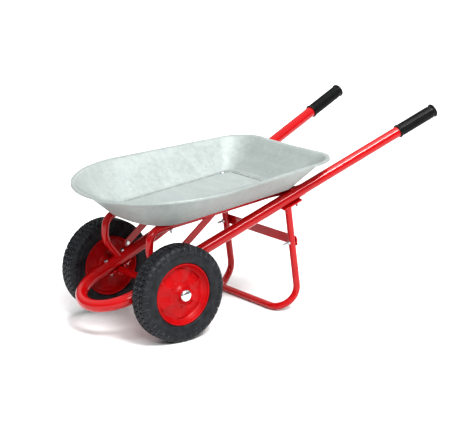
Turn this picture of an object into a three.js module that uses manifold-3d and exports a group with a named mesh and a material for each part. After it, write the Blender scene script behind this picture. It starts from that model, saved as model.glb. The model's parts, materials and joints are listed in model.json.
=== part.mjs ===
// Two-wheeled wheelbarrow: galvanised tray on a bent tube frame with a front hoop, telescoped
// handles with rubber grips, a bent tube leg frame and two solid-rubber wheels on a fixed axle.
// Millimetres. +Z is up, the nose looks along -Y and the handles reach back along +Y.

import * as THREE from 'three';
import { mergeVertices } from 'three/addons/utils/BufferGeometryUtils.js';
import Module from 'manifold-3d';

const wasm = await Module();
wasm.setup();

// ---------- driving sizes ----------

const GAP = 0.3;                 // clearance where two pieces meet
const AXLE_HEIGHT = 160;         // radius of the tyres
const ORIGIN_BACK = 422.2;       // from the middle of the footprint forward to the axle

// frame plane: both long tubes and the hoop lie in it
const FRAME_SLOPE = THREE.MathUtils.degToRad(22.95);
const FRAME_OVER_AXLE = 34.4;     // height of the plane above the axle centre
const SPREAD = THREE.MathUtils.degToRad(7.15);
const SPREAD_START = 162;        // along the tubes, where they stop being parallel
const SPREAD_BEND = 160;         // radius of that bend
const HOOP_RADIUS = 132.3;
const HOOP_CENTRE = -93.6;
const TUBE_R = 20.4;
const TUBE_BORE = 19.2;
const TUBE_END = 579;            // upper end of each frame tube

// handles and grips
const HANDLE_R = 18.9;
const HANDLE_BORE = 17.3;
const HANDLE_START = 455;        // lower end, hidden inside the frame tube
const GRIP_START = 995;
const GRIP_LENGTH = 162;
const GRIP_R = 22;
const GRIP_FLANGE_R = 25;
const GRIP_FLANGE = 7;
const GRIP_END_WALL = 4;

// leg frame: one bent tube; the legs lean back, then sweep forward into the floor bar
const LEG_R = 12;
const LEG_BORE = 10.5;
const LEG_LEAN = THREE.MathUtils.degToRad(8.3);
const LEG_X = 187.6;
const KNEE = { y: 512.2, z: 92.9 };   // where a leg starts to sweep forward
const FLOOR_BAR_Y = 446.7;       // behind the axle
const FLOOR_BAR_HALF = 127.9;    // straight part of the floor bar
const SWEEP_LEG = 58.7;          // how far the bend follows the leg
const SWEEP_BAR = 55.7;          // how far the bend follows the floor bar
const LEG_LENGTH = 310;          // from the knee up, trimmed by the mounting plate

// plate that joins a leg to its frame tube
const PLATE_FRONT = 484;
const PLATE_LENGTH = 75;
const PLATE_WIDTH = 46;
const PLATE_THICK = 5;
const PLATE_BOLT = 543;

// cross bar behind the legs
const BAR_HALF = 197.4;
const BAR_HEIGHT = 35;
const BAR_THICK = 4;
const BAR_UP = 154;              // from the knees up along the legs

// tray rails, braces and lugs
const RAIL_X = HOOP_RADIUS;
const RAIL_R = 13;
const RAIL_BORE = 11.4;
const RAIL_BEND_OUT = 446;       // behind the axle, where a rail turns towards its frame tube
const RAIL_END = { x: 171.7, y: 555.7 };
const FLOOR_SLOPE = Math.atan(0.112);
const FLOOR_OVER_GROUND = 371.8;  // underside of the tray floor above the axle line
const BRACE_WIDTH = 25;
const BRACE_THICK = 4;
const BRACE_SLOPE = THREE.MathUtils.degToRad(38);
const BRACE_LENGTH = 228;
const BRACE_BOLT = { along: 50, up: 35.5 };
const LUG_FRONT = 9;
const LUG_REAR = 18;

// axle, straps
const AXLE_TUBE_R = 12.5;
const AXLE_TUBE_HALF = 169;
const AXLE_R = 8;
const AXLE_HALF = 262;
const STRAP_WIDTH = 30;
const STRAP_THICK = 4;
const STRAP_BOLT = 35.5;
const STRAP_EAR = 47;

// wheels
const WHEEL_X = 214.6;
const TYRE_R = 160;
const TYRE_HALF = 37.7;
const RIM_R = 102.8;
const HUB_INNER = 42;            // hub end towards the frame, from the wheel's middle
const HUB_OUTER = 40;
const HUB_R = 21;
const HUB_BORE = 12.3;
const BUSH_LENGTH = 24;
const BUSH_FLANGE_R = 17;
const BUSH_FLANGE = 2.5;
const CAP_R = 20;
const CAP_HEIGHT = 11;

// tray
const SHEET = 1.6;
const TRAY_NOSE = -203;
const TRAY_REAR = 633;
const TRAY_DEPTH_FRONT = 115.2;   // rim above the floor plane at the axle line
const TRAY_DEPTH_FALL = 0.0377;  // the floor climbs faster than the rim
const TRAY_DROOP = 6;            // how far the rim drops towards the nose
const BEAD_R = 4;

// fasteners
const BOLT_R = 4;
const BOLT_HOLE_R = 4.5;
const HEX_R = 7.5;
const HEX_HEIGHT = 6;

const SIDES = [['left', 1], ['right', -1]];

// ---------- finishes ----------

const finish = (color, roughness, metalness) => () =>
  new THREE.MeshStandardMaterial({ color, roughness, metalness });
const redPaint = finish(0xd81e22, 0.32, 0.0);
const galvanised = finish(0xc3cccb, 0.42, 0.85);
const zincPlate = finish(0xb9bcc0, 0.35, 0.9);
const chrome = finish(0xe4e6e8, 0.12, 1.0);
const blackRubber = finish(0x24272a, 0.82, 0.0);
const gripRubber = finish(0x161718, 0.6, 0.0);
const redPlastic = finish(0xd41c20, 0.4, 0.0);
const bushPlastic = finish(0x2b2b2c, 0.5, 0.0);
const steel = finish(0x9fa3a6, 0.4, 0.9);

const wheelbarrow = new THREE.Group();
wheelbarrow.name = 'wheelbarrow';

function addPart(name, geometry, material) {
  geometry.computeVertexNormals();
  const mesh = new THREE.Mesh(geometry, material());
  mesh.name = name;
  wheelbarrow.add(mesh);
  return mesh;
}

// ---------- solid helpers ----------

function toSolid(source) {
  const bare = source.clone();
  bare.deleteAttribute('normal');
  bare.deleteAttribute('uv');
  const merged = mergeVertices(bare, 1e-4);
  const mesh = new wasm.Mesh({
    numProp: 3,
    vertProperties: new Float32Array(merged.attributes.position.array),
    triVerts: new Uint32Array(merged.index.array),
  });
  return new wasm.Manifold(mesh);
}

function toGeometry(solid) {
  const mesh = solid.getMesh();
  const geometry = new THREE.BufferGeometry();
  geometry.setAttribute('position', new THREE.BufferAttribute(mesh.vertProperties, 3));
  geometry.setIndex(new THREE.BufferAttribute(mesh.triVerts, 1));
  return geometry.toNonIndexed();
}

function cut(geometry, ...cutters) {
  let solid = toSolid(geometry);
  for (const cutter of cutters) solid = solid.subtract(toSolid(cutter));
  return toGeometry(solid);
}

function join(...pieces) {
  let solid = toSolid(pieces[0]);
  for (const piece of pieces.slice(1)) solid = solid.add(toSolid(piece));
  return toGeometry(solid);
}

// A path that an ExtrudeGeometry samples at exactly the given stations.
class StationPath extends THREE.Curve {
  constructor(stations) {
    super();
    this.stations = stations;
  }
  getSpacedPoints() {
    return this.stations;
  }
  getTangentAt(u) {
    const last = this.stations.length - 1;
    const i = Math.round(u * last);
    const before = this.stations[Math.max(i - 1, 0)];
    const after = this.stations[Math.min(i + 1, last)];
    const here = this.stations[i];
    const into = here.clone().sub(before).normalize();
    const out = after.clone().sub(here).normalize();
    return into.add(out).normalize();
  }
}

function tubeAlong(stations, radius, bore, sides) {
  const section = new THREE.Shape().absarc(0, 0, radius, 0, Math.PI * 2);
  if (bore) section.holes.push(new THREE.Path().absarc(0, 0, bore, 0, Math.PI * 2, true));
  return new THREE.ExtrudeGeometry(section, {
    steps: stations.length - 1,
    curveSegments: sides / 2,
    extrudePath: new StationPath(stations),
  });
}

// Stations along a polyline whose inner corners are rounded.
function roundedRoute(corners, radii, arcSteps) {
  const stations = [corners[0]];
  for (let i = 1; i < corners.length - 1; i += 1) {
    const back = corners[i - 1].clone().sub(corners[i]).normalize();
    const ahead = corners[i + 1].clone().sub(corners[i]).normalize();
    const half = back.angleTo(ahead) / 2;
    const reach = radii[i - 1] / Math.tan(half);
    const middle = back.clone().add(ahead).normalize();
    const centre = corners[i].clone().addScaledVector(middle, radii[i - 1] / Math.sin(half));
    const from = corners[i].clone().addScaledVector(back, reach).sub(centre);
    const to = corners[i].clone().addScaledVector(ahead, reach).sub(centre);
    const sweep = from.angleTo(to);
    for (let k = 0; k <= arcSteps; k += 1) {
      const t = k / arcSteps;
      const a = Math.sin((1 - t) * sweep) / Math.sin(sweep);
      const b = Math.sin(t * sweep) / Math.sin(sweep);
      stations.push(from.clone().multiplyScalar(a).addScaledVector(to, b).add(centre));
    }
  }
  stations.push(corners[corners.length - 1]);
  return stations;
}

function rod(radius, from, to, sides = 20) {
  const axis = to.clone().sub(from);
  const geometry = new THREE.CylinderGeometry(radius, radius, axis.length(), sides);
  geometry.applyQuaternion(
    new THREE.Quaternion().setFromUnitVectors(new THREE.Vector3(0, 1, 0), axis.clone().normalize()));
  const middle = from.clone().add(to).multiplyScalar(0.5);
  return geometry.translate(middle.x, middle.y, middle.z);
}

// Lathe about Y; the outline is turned so that the faces look outwards.
function lathe(outline, segments) {
  const profile = outline.map(([r, y]) => new THREE.Vector2(r, y));
  if (THREE.ShapeUtils.area(profile) < 0) profile.reverse();
  return new THREE.LatheGeometry(profile, segments);
}

function latheAlongX(outline, segments) {
  return lathe(outline.map(([x, r]) => [r, x]), segments).rotateZ(-Math.PI / 2);
}

// ---------- frame coordinates ----------

const ACROSS = new THREE.Vector3(1, 0, 0);
const ALONG = new THREE.Vector3(0, Math.cos(FRAME_SLOPE), Math.sin(FRAME_SLOPE));
const NORMAL = new THREE.Vector3(0, -Math.sin(FRAME_SLOPE), Math.cos(FRAME_SLOPE));
const FRAME_ZERO = new THREE.Vector3(0, 0, AXLE_HEIGHT + FRAME_OVER_AXLE);

function framePoint(x, along, up = 0) {
  return FRAME_ZERO.clone()
    .addScaledVector(ACROSS, x)
    .addScaledVector(ALONG, along)
    .addScaledVector(NORMAL, up);
}

const tubeX = (along) => HOOP_RADIUS + Math.max(along - SPREAD_START, 0) * Math.tan(SPREAD);

// Matrix whose Y runs up one frame tube and whose Z stands off the frame plane.
function tubeMatrix(side, along) {
  const lean = along > SPREAD_START ? side * SPREAD : 0;
  const y = ACROSS.clone().multiplyScalar(Math.sin(lean)).addScaledVector(ALONG, Math.cos(lean));
  const x = y.clone().cross(NORMAL);
  return new THREE.Matrix4().makeBasis(x, y, NORMAL).setPosition(framePoint(side * tubeX(along), along));
}

function onTube(geometry, side, along) {
  return geometry.applyMatrix4(tubeMatrix(side, along));
}

// ---------- fasteners, drawn with the head above z = 0 and the shank below ----------

function hexBolt(length) {
  const head = new THREE.CylinderGeometry(HEX_R, HEX_R, HEX_HEIGHT, 6).rotateX(Math.PI / 2);
  head.translate(0, 0, HEX_HEIGHT / 2);
  return join(head, boltShank(length));
}

function boltShank(length) {
  const shank = new THREE.CylinderGeometry(BOLT_R, BOLT_R, length + 1, 10).rotateX(Math.PI / 2);
  return shank.translate(0, 0, 0.5 - length / 2);
}

function domeBolt(length) {
  const rise = 4;
  const radius = 9;
  const steps = 3;
  const dome = [[0, 0], [radius, 0]];
  for (let k = 1; k < steps; k += 1) {
    const a = (k / steps) * Math.PI / 2;
    dome.push([radius * Math.cos(a), rise * Math.sin(a)]);
  }
  dome.push([0, rise]);
  return join(lathe(dome, 12).rotateX(Math.PI / 2), boltShank(length));
}

function hexNut() {
  const outer = new THREE.CylinderGeometry(HEX_R, HEX_R, HEX_HEIGHT, 6).rotateX(Math.PI / 2);
  return cut(outer, boltHole(HEX_HEIGHT));
}

// A drill for a bolt, centred on z = 0.
function boltHole(length) {
  return new THREE.CylinderGeometry(BOLT_HOLE_R, BOLT_HOLE_R, length + 2, 10).rotateX(Math.PI / 2);
}

// ---------- frame tube with hoop ----------

const axleAlong = -FRAME_OVER_AXLE * Math.sin(FRAME_SLOPE);
const axleUp = -FRAME_OVER_AXLE * Math.cos(FRAME_SLOPE);
const strapBolts = [['front', axleAlong - STRAP_BOLT], ['rear', axleAlong + STRAP_BOLT]];

function hoopStations() {
  const half = [];
  const bend = [
    framePoint(tubeX(TUBE_END), TUBE_END),
    framePoint(HOOP_RADIUS, SPREAD_START),
    framePoint(HOOP_RADIUS, HOOP_CENTRE),
  ];
  half.push(...roundedRoute(bend, [SPREAD_BEND], 2));
  const arcSteps = 8;
  for (let k = 1; k <= arcSteps; k += 1) {
    const a = (k / arcSteps) * Math.PI / 2;
    half.push(framePoint(HOOP_RADIUS * Math.cos(a), HOOP_CENTRE - HOOP_RADIUS * Math.sin(a)));
  }
  const mirrored = half.slice(0, -1).reverse().map((p) => new THREE.Vector3(-p.x, p.y, p.z));
  return [...half, ...mirrored];
}

function plateBoltHole(side) {
  return onTube(boltHole(4 * TUBE_R), side, PLATE_BOLT);
}

function buildFrameTube() {
  const holes = [];
  for (const [, side] of SIDES) {
    holes.push(plateBoltHole(side), rearTrayBoltHole(side));
    for (const [, along] of strapBolts) holes.push(onTube(boltHole(4 * TUBE_R), side, along));
  }
  const tube = tubeAlong(hoopStations(), TUBE_R, TUBE_BORE, 16);
  addPart('main_frame', cut(tube, ...holes), redPaint);
}

// ---------- handles and grips ----------

function buildHandles() {
  const end = GRIP_START + (GRIP_LENGTH - GRIP_END_WALL - GAP) * Math.cos(SPREAD);
  for (const [name, side] of SIDES) {
    const stations = [HANDLE_START, end].map((along) => framePoint(side * tubeX(along), along));
    const tube = tubeAlong(stations, HANDLE_R, HANDLE_BORE, 16);
    addPart(`handle_${name}`, cut(tube, plateBoltHole(side), rearTrayBoltHole(side)), redPaint);
    addPart(`grip_${name}`, gripGeometry(side), gripRubber);
  }
}

function gripGeometry(side) {
  const bore = HANDLE_R + GAP;
  const round = 2.5;
  const profile = [
    [bore, 0], [GRIP_FLANGE_R - round, 0], [GRIP_FLANGE_R, round],
    [GRIP_FLANGE_R, GRIP_FLANGE - round], [GRIP_R, GRIP_FLANGE + 1],
    [GRIP_R, GRIP_LENGTH - GRIP_FLANGE - 2], [GRIP_FLANGE_R, GRIP_LENGTH - GRIP_FLANGE + round],
    [GRIP_FLANGE_R, GRIP_LENGTH - 2 * round], [GRIP_FLANGE_R - round, GRIP_LENGTH - 0.6],
    [0, GRIP_LENGTH], [0, GRIP_LENGTH - GRIP_END_WALL], [bore, GRIP_LENGTH - GRIP_END_WALL],
    [bore, 0],
  ];
  return onTube(lathe(profile, 20), side, GRIP_START);
}

// ---------- leg frame, plates and cross bar ----------

const legDown = new THREE.Vector3(0, Math.sin(LEG_LEAN), -Math.cos(LEG_LEAN));
const legBack = new THREE.Vector3(0, Math.cos(LEG_LEAN), Math.sin(LEG_LEAN));

// A point of the legs' plane: x across, rise up the legs from the knees, back off the plane.
function legPoint(x, rise, back = 0) {
  return new THREE.Vector3(x, KNEE.y, KNEE.z)
    .addScaledVector(legDown, -rise)
    .addScaledVector(legBack, back);
}

function legMatrix(side) {
  return new THREE.Matrix4()
    .makeBasis(ACROSS, legDown, legBack)
    .setPosition(legPoint(side * LEG_X, BAR_UP));
}

function legStations() {
  const sweepSteps = 10;
  const barEnd = new THREE.Vector3(FLOOR_BAR_HALF, FLOOR_BAR_Y, LEG_R);
  const sweep = new THREE.CubicBezierCurve3(
    legPoint(LEG_X, 0), legPoint(LEG_X, -SWEEP_LEG), barEnd.clone().addScaledVector(ACROSS, SWEEP_BAR), barEnd);
  const half = [legPoint(LEG_X, LEG_LENGTH), ...sweep.getPoints(sweepSteps)];
  return [...half, ...half.slice().reverse().map((p) => new THREE.Vector3(-p.x, p.y, p.z))];
}

function buildLegs() {
  const tube = tubeAlong(legStations(), LEG_R, LEG_BORE, 12);
  const trims = [];
  for (const [, side] of SIDES) {
    trims.push(abovePlates(side), boltHole(4 * LEG_R).applyMatrix4(legMatrix(side)));
  }
  addPart('leg_frame', cut(tube, ...trims), redPaint);
  buildLegPlates();
  buildCrossBar();
}

// Everything above the underside of one mounting plate.
function abovePlates(side) {
  const size = 200;
  const block = new THREE.BoxGeometry(size, size, size);
  block.translate(0, 0, size / 2 - TUBE_R - PLATE_THICK - 2 * GAP);
  return onTube(block, side, PLATE_FRONT + PLATE_LENGTH / 2);
}

function buildLegPlates() {
  for (const [name, side] of SIDES) {
    const middle = PLATE_FRONT + PLATE_LENGTH / 2;
    const plate = new THREE.BoxGeometry(PLATE_WIDTH, PLATE_LENGTH, PLATE_THICK);
    plate.translate(0, 0, -TUBE_R - GAP - PLATE_THICK / 2);
    addPart(`leg_plate_${name}`, cut(onTube(plate, side, middle), plateBoltHole(side)), redPaint);
    const underPlate = -TUBE_R - PLATE_THICK - 2 * GAP;
    const bolt = domeBolt(66).translate(0, 0, TUBE_R + GAP);
    addPart(`handle_bolt_${name}`, onTube(bolt, side, PLATE_BOLT), zincPlate);
    const nut = hexNut().translate(0, 0, underPlate - HEX_HEIGHT / 2);
    addPart(`handle_nut_${name}`, onTube(nut, side, PLATE_BOLT), zincPlate);
  }
}

function buildCrossBar() {
  const off = LEG_R + GAP;
  const bar = new THREE.BoxGeometry(2 * BAR_HALF, BAR_HEIGHT, BAR_THICK);
  bar.translate(0, 0, off + BAR_THICK / 2);
  bar.applyMatrix4(new THREE.Matrix4().makeBasis(ACROSS, legDown, legBack).setPosition(legPoint(0, BAR_UP)));
  const holes = SIDES.map(([, side]) => boltHole(4 * LEG_R).applyMatrix4(legMatrix(side)));
  addPart('leg_crossbar', cut(bar, ...holes), redPaint);
  for (const [name, side] of SIDES) {
    const head = off + BAR_THICK + GAP;
    addPart(`crossbar_bolt_${name}`, hexBolt(56).translate(0, 0, head).applyMatrix4(legMatrix(side)), zincPlate);
    const nut = hexNut().translate(0, 0, -off - HEX_HEIGHT / 2);
    addPart(`crossbar_nut_${name}`, nut.applyMatrix4(legMatrix(side)), zincPlate);
  }
}

// ---------- tray rails and braces ----------

const floorAt = (y) => FLOOR_OVER_GROUND + Math.tan(FLOOR_SLOPE) * y;
const railAt = (y) => floorAt(y) - (RAIL_R + GAP) / Math.cos(FLOOR_SLOPE);

// Matrix that stands square to the tray floor at a point of its underside.
function floorMatrix(x, y) {
  const rear = new THREE.Vector3(0, Math.cos(FLOOR_SLOPE), Math.sin(FLOOR_SLOPE));
  const up = new THREE.Vector3(0, -Math.sin(FLOOR_SLOPE), Math.cos(FLOOR_SLOPE));
  return new THREE.Matrix4().makeBasis(ACROSS, rear, up).setPosition(new THREE.Vector3(x, y, floorAt(y)));
}

const FRONT_BOLT = { x: RAIL_X, y: 27.6 };
const REAR_BOLT = { x: 168, y: 459 };

function rearTrayBoltHole(side) {
  const drill = boltHole(44).translate(0, 0, -22);
  return drill.applyMatrix4(floorMatrix(side * REAR_BOLT.x, REAR_BOLT.y));
}

function frontTrayBoltHole(side) {
  return boltHole(80).applyMatrix4(floorMatrix(side * FRONT_BOLT.x, FRONT_BOLT.y));
}

function tubeEnvelope(side) {
  const reach = [-60, SPREAD_START];
  const lower = reach.map((along) => framePoint(side * HOOP_RADIUS, along));
  const upper = [SPREAD_START, TUBE_END + 80].map((along) => framePoint(side * tubeX(along), along));
  return [rod(TUBE_R + GAP, ...lower, 24), rod(TUBE_R + GAP, ...upper, 24)];
}

function railGeometry(side) {
  const at = (x, y, z) => new THREE.Vector3(side * x, y, z);
  const corners = [
    at(RAIL_X, 5, 196), at(RAIL_X, -56, 272), at(RAIL_X, -49, railAt(-49)),
    at(RAIL_X, RAIL_BEND_OUT, railAt(RAIL_BEND_OUT)), at(RAIL_END.x, RAIL_END.y, railAt(RAIL_END.y)),
  ];
  return tubeAlong(roundedRoute(corners, [60, 45, 120], 4), RAIL_R, RAIL_BORE, 12);
}

function buildRails() {
  for (const [name, side] of SIDES) {
    const rail = cut(railGeometry(side), ...tubeEnvelope(side), frontTrayBoltHole(side));
    addPart(`tray_rail_${name}`, rail, redPaint);
  }
}

function braceOutline() {
  const r = BRACE_WIDTH / 2;
  const bar = new THREE.Shape();
  bar.moveTo(BRACE_LENGTH, -r);
  bar.lineTo(BRACE_LENGTH, r);
  bar.lineTo(0, r);
  bar.absarc(0, 0, r, Math.PI / 2, Math.PI * 1.5);
  return bar;
}

function buildBraces() {
  for (const [name, side] of SIDES) {
    const pivot = framePoint(side * RAIL_X, BRACE_BOLT.along, BRACE_BOLT.up);
    const bar = sideways(braceOutline(), BRACE_THICK, BRACE_SLOPE);
    bar.translate(pivot.x, pivot.y, pivot.z);
    const drill = rod(BOLT_HOLE_R, pivot.clone().setX(pivot.x - 20), pivot.clone().setX(pivot.x + 20), 12);
    const rail = rod(RAIL_R + GAP, new THREE.Vector3(pivot.x, -20, railAt(-20)),
      new THREE.Vector3(pivot.x, 400, railAt(400)), 28);
    const above = new THREE.BoxGeometry(40, 300, 60).applyMatrix4(floorMatrix(pivot.x, 200).clone()
      .multiply(new THREE.Matrix4().makeTranslation(0, 0, 30 - RAIL_R)));
    addPart(`brace_${name}`, cut(bar, drill, rail, above), redPaint);
    buildLug(name, side, pivot, drill);
  }
}

// Extrudes a Y-Z outline along X, centred on x = 0, turned up by an angle.
function sideways(outline, thickness, turn) {
  const slab = new THREE.ExtrudeGeometry(outline, { depth: thickness, bevelEnabled: false, curveSegments: 8 });
  slab.translate(0, 0, -thickness / 2);
  slab.rotateZ(turn);
  slab.applyMatrix4(new THREE.Matrix4().makeBasis(
    new THREE.Vector3(0, 1, 0), new THREE.Vector3(0, 0, 1), new THREE.Vector3(1, 0, 0)));
  return slab;
}

function lugOutline() {
  const r = BRACE_WIDTH / 2;
  const plate = new THREE.Shape();
  plate.moveTo(-LUG_FRONT, -BRACE_BOLT.up + 8);
  plate.lineTo(LUG_REAR, -BRACE_BOLT.up + 8);
  plate.lineTo(r * Math.cos(0.4), r * Math.sin(0.4));
  plate.absarc(0, 0, r, 0.4, Math.PI - 0.4);
  return plate;
}

function buildLug(name, side, pivot, drill) {
  const offset = side * (BRACE_THICK + GAP);
  const lug = sideways(lugOutline(), BRACE_THICK, FRAME_SLOPE);
  lug.translate(pivot.x + offset, pivot.y, pivot.z);
  addPart(`brace_lug_${name}`, cut(lug, drill, ...tubeEnvelope(side)), redPaint);
  const toward = new THREE.Matrix4().makeRotationY(-side * Math.PI / 2);
  const grip = BRACE_THICK / 2 + GAP;
  const bolt = hexBolt(22).translate(0, 0, grip).applyMatrix4(toward);
  addPart(`brace_bolt_${name}`, bolt.translate(pivot.x, pivot.y, pivot.z), zincPlate);
  const nut = hexNut().translate(0, 0, -grip - BRACE_THICK - GAP - HEX_HEIGHT / 2).applyMatrix4(toward);
  addPart(`brace_nut_${name}`, nut.translate(pivot.x, pivot.y, pivot.z), zincPlate);
}

// ---------- axle and straps ----------

function strapOutline() {
  const inner = AXLE_TUBE_R + GAP;
  const outer = inner + STRAP_THICK;
  const top = -TUBE_R - GAP - axleUp;
  const strap = new THREE.Shape();
  strap.moveTo(-STRAP_EAR, top);
  strap.lineTo(-STRAP_EAR, top - STRAP_THICK);
  strap.lineTo(-outer, top - STRAP_THICK);
  strap.absarc(0, 0, outer, Math.PI, Math.PI * 2);
  strap.lineTo(outer, top - STRAP_THICK);
  strap.lineTo(STRAP_EAR, top - STRAP_THICK);
  strap.lineTo(STRAP_EAR, top);
  strap.lineTo(inner, top);
  strap.absarc(0, 0, inner, 0, -Math.PI, true);
  strap.lineTo(-inner, top);
  return strap;
}

function buildAxle() {
  const end = AXLE_TUBE_HALF;
  const tube = latheAlongX([
    [-end, AXLE_R + GAP], [end, AXLE_R + GAP], [end, AXLE_TUBE_R], [-end, AXLE_TUBE_R], [-end, AXLE_R + GAP],
  ], 20);
  tube.translate(0, 0, AXLE_HEIGHT);
  const saddles = SIDES.map(([, side]) => tubeEnvelope(side)[0]);
  addPart('axle_tube', cut(tube, ...saddles), redPaint);
  const bar = latheAlongX([
    [-AXLE_HALF, 0], [-AXLE_HALF, AXLE_R - 1], [1 - AXLE_HALF, AXLE_R],
    [AXLE_HALF - 1, AXLE_R], [AXLE_HALF, AXLE_R - 1], [AXLE_HALF, 0],
  ], 16);
  addPart('axle_rod', bar.translate(0, 0, AXLE_HEIGHT), steel);
  for (const [name, side] of SIDES) buildStrap(name, side);
}

function buildStrap(name, side) {
  const x = side * HOOP_RADIUS;
  const strap = sideways(strapOutline(), STRAP_WIDTH, FRAME_SLOPE).translate(x, 0, AXLE_HEIGHT);
  const holes = strapBolts.map(([, along]) => onTube(boltHole(4 * TUBE_R), side, along));
  addPart(`axle_strap_${name}`, cut(strap, ...holes), redPaint);
  for (const [place, along] of strapBolts) {
    const nut = hexNut().translate(0, 0, -TUBE_R - 2 * GAP - STRAP_THICK - HEX_HEIGHT / 2);
    const bolt = hexBolt(58).translate(0, 0, TUBE_R + GAP);
    addPart(`strap_bolt_${place}_${name}`, onTube(bolt, side, along), zincPlate);
    addPart(`strap_nut_${place}_${name}`, onTube(nut, side, along), zincPlate);
  }
}

// ---------- wheels ----------

function tyreProfile() {
  const bead = RIM_R + GAP;
  const shoulder = 12;
  const points = [[-TYRE_HALF + 10, bead], [-TYRE_HALF + 3, bead + 4], [-TYRE_HALF, bead + 20]];
  points.push([-TYRE_HALF, TYRE_R - 26], [-TYRE_HALF + 1.5, TYRE_R - shoulder]);
  points.push([-TYRE_HALF + 5.5, TYRE_R - 3.5], [-TYRE_HALF + 14, TYRE_R - 0.4]);
  points.push([0, TYRE_R]);
  const mirrored = points.slice(0, -1).reverse().map(([x, r]) => [-x, r]);
  return [...points, ...mirrored, points[0]];
}

// Rim, web and hub of the moulded wheel centre; x runs outwards.
function discProfile() {
  const barrel = 5;
  const web = 5;
  const lip = TYRE_HALF - 6;
  return [
    [-lip, RIM_R], [-lip, RIM_R - barrel], [-web, RIM_R - barrel - 4], [-web - 2, HUB_R + 12],
    [-HUB_INNER + 6, HUB_R], [-HUB_INNER, HUB_R - 2], [-HUB_INNER, HUB_BORE], [HUB_OUTER, HUB_BORE],
    [HUB_OUTER, HUB_R - 2], [HUB_OUTER - 4, HUB_R], [22, HUB_R + 16], [12, RIM_R - barrel - 12],
    [lip - 4, RIM_R - barrel], [lip, RIM_R - 2], [lip, RIM_R], [-lip, RIM_R],
  ];
}

function bushProfile() {
  const bore = AXLE_R + GAP;
  return [
    [0, bore], [0, BUSH_FLANGE_R], [-BUSH_FLANGE, BUSH_FLANGE_R], [-BUSH_FLANGE, HUB_BORE - GAP],
    [-BUSH_LENGTH, HUB_BORE - GAP], [-BUSH_LENGTH, bore], [0, bore],
  ];
}

function capProfile() {
  const wall = 1.6;
  const steps = 4;
  const outer = [[0, CAP_R - wall], [0, CAP_R], [3, CAP_R]];
  const inner = [];
  for (let k = 1; k <= steps; k += 1) {
    const a = (k / steps) * Math.PI / 2;
    outer.push([3 + (CAP_HEIGHT - 3) * Math.sin(a), CAP_R * Math.cos(a)]);
    inner.unshift([3 + (CAP_HEIGHT - 3 - wall) * Math.sin(a), (CAP_R - wall) * Math.cos(a)]);
  }
  outer[outer.length - 1][1] = 0;
  inner[0][1] = 0;
  return [...outer, ...inner, [3, CAP_R - wall], [0, CAP_R - wall]];
}

function buildWheel(name, side) {
  const middle = side * WHEEL_X;
  const place = (outline, x, segments) => latheAlongX(outline.map(([u, r]) => [side * (x + u), r]), segments)
    .translate(middle, 0, AXLE_HEIGHT);
  addPart(`tyre_${name}`, place(tyreProfile(), 0, 36), blackRubber);
  addPart(`wheel_disc_${name}`, place(discProfile(), 0, 36), redPlastic);
  const flange = BUSH_FLANGE + GAP;
  addPart(`bush_outer_${name}`, place(bushProfile(), HUB_OUTER + flange, 16), bushPlastic);
  const innerBush = bushProfile().map(([x, r]) => [-x, r]);
  addPart(`bush_inner_${name}`, place(innerBush, -HUB_INNER - flange, 16), bushPlastic);
  const capAt = HUB_OUTER + flange + GAP;
  addPart(`hub_cap_${name}`, place(capProfile(), capAt, 24), chrome);
}

// ---------- tray ----------

// Half outline of the tray at one height; every ring has the same number of points.
function trayRing(level) {
  const { nose, rear, front, back, corner, blend, bow } = level;
  const start = level.straight;
  const half = [];
  const noseSteps = 9;
  for (let k = 0; k < noseSteps; k += 1) {
    const a = (k / noseSteps) * Math.PI / 2;
    const x = front * Math.sin(a) ** (2 / blend);
    const y = start + (nose - start) * Math.cos(a) ** (2 / blend);
    half.push([x, y]);
  }
  const sideSteps = 3;
  for (let k = 0; k < sideSteps; k += 1) {
    const t = k / sideSteps;
    half.push([front + (back - front) * t, start + (rear - corner - start) * t]);
  }
  const cornerSteps = 5;
  for (let k = 0; k <= cornerSteps; k += 1) {
    const a = (k / cornerSteps) * Math.PI / 2;
    half.push([back - corner + corner * Math.cos(a), rear - corner + corner * Math.sin(a)]);
  }
  half.push([(back - corner) * 0.5, rear + bow * 0.75], [0, rear + bow]);
  const mirrored = half.slice(1, -1).reverse().map(([x, y]) => [-x, y]);
  return [...half, ...mirrored];
}

// Floor edge and rim of the tray; rings between them are mixed from these two.
const floorLevel = {
  nose: -50, rear: 498, front: 178, back: 178, corner: 36, straight: 64, blend: 2.6, bow: 0,
};
const rimLevel = {
  nose: TRAY_NOSE, rear: TRAY_REAR, front: 332, back: 283, corner: 112, straight: 106, blend: 2.03, bow: -7,
};

function mixLevel(t) {
  const level = {};
  for (const key of Object.keys(floorLevel)) {
    level[key] = floorLevel[key] + (rimLevel[key] - floorLevel[key]) * t;
  }
  return level;
}

function depthAt(y) {
  const ahead = Math.max(rimLevel.straight - y, 0) / (rimLevel.straight - TRAY_NOSE);
  return TRAY_DEPTH_FRONT - TRAY_DEPTH_FALL * y - TRAY_DROOP * ahead ** 2;
}


// Mid-surface rings of the sheet: [mix between floor and rim, height as a share of the depth].
const wallSteps = [
  [0, 0], [0.045, 0.012], [0.09, 0.045], [0.13, 0.09], [0.5, 0.52], [0.84, 0.93], [0.875, 0.965],
  [0.905, 0.985], [0.96, 0.997], [0.985, 1.0],
];

function sheetRing(mix, share, lift) {
  return trayRing(mixLevel(mix)).map(([x, y]) => {
    const base = floorAt(y) + SHEET / 2;
    return new THREE.Vector3(x, y, base + depthAt(y) * share + lift);
  });
}

function beadRings() {
  const rings = [];
  const steps = 4;
  for (let k = 0; k <= steps; k += 1) {
    const a = Math.PI * 0.5 - (k / steps) * Math.PI * 1.5;
    rings.push([0.995 + 0.012 * Math.cos(a), -BEAD_R + BEAD_R * Math.sin(a)]);
  }
  return rings;
}

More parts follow.
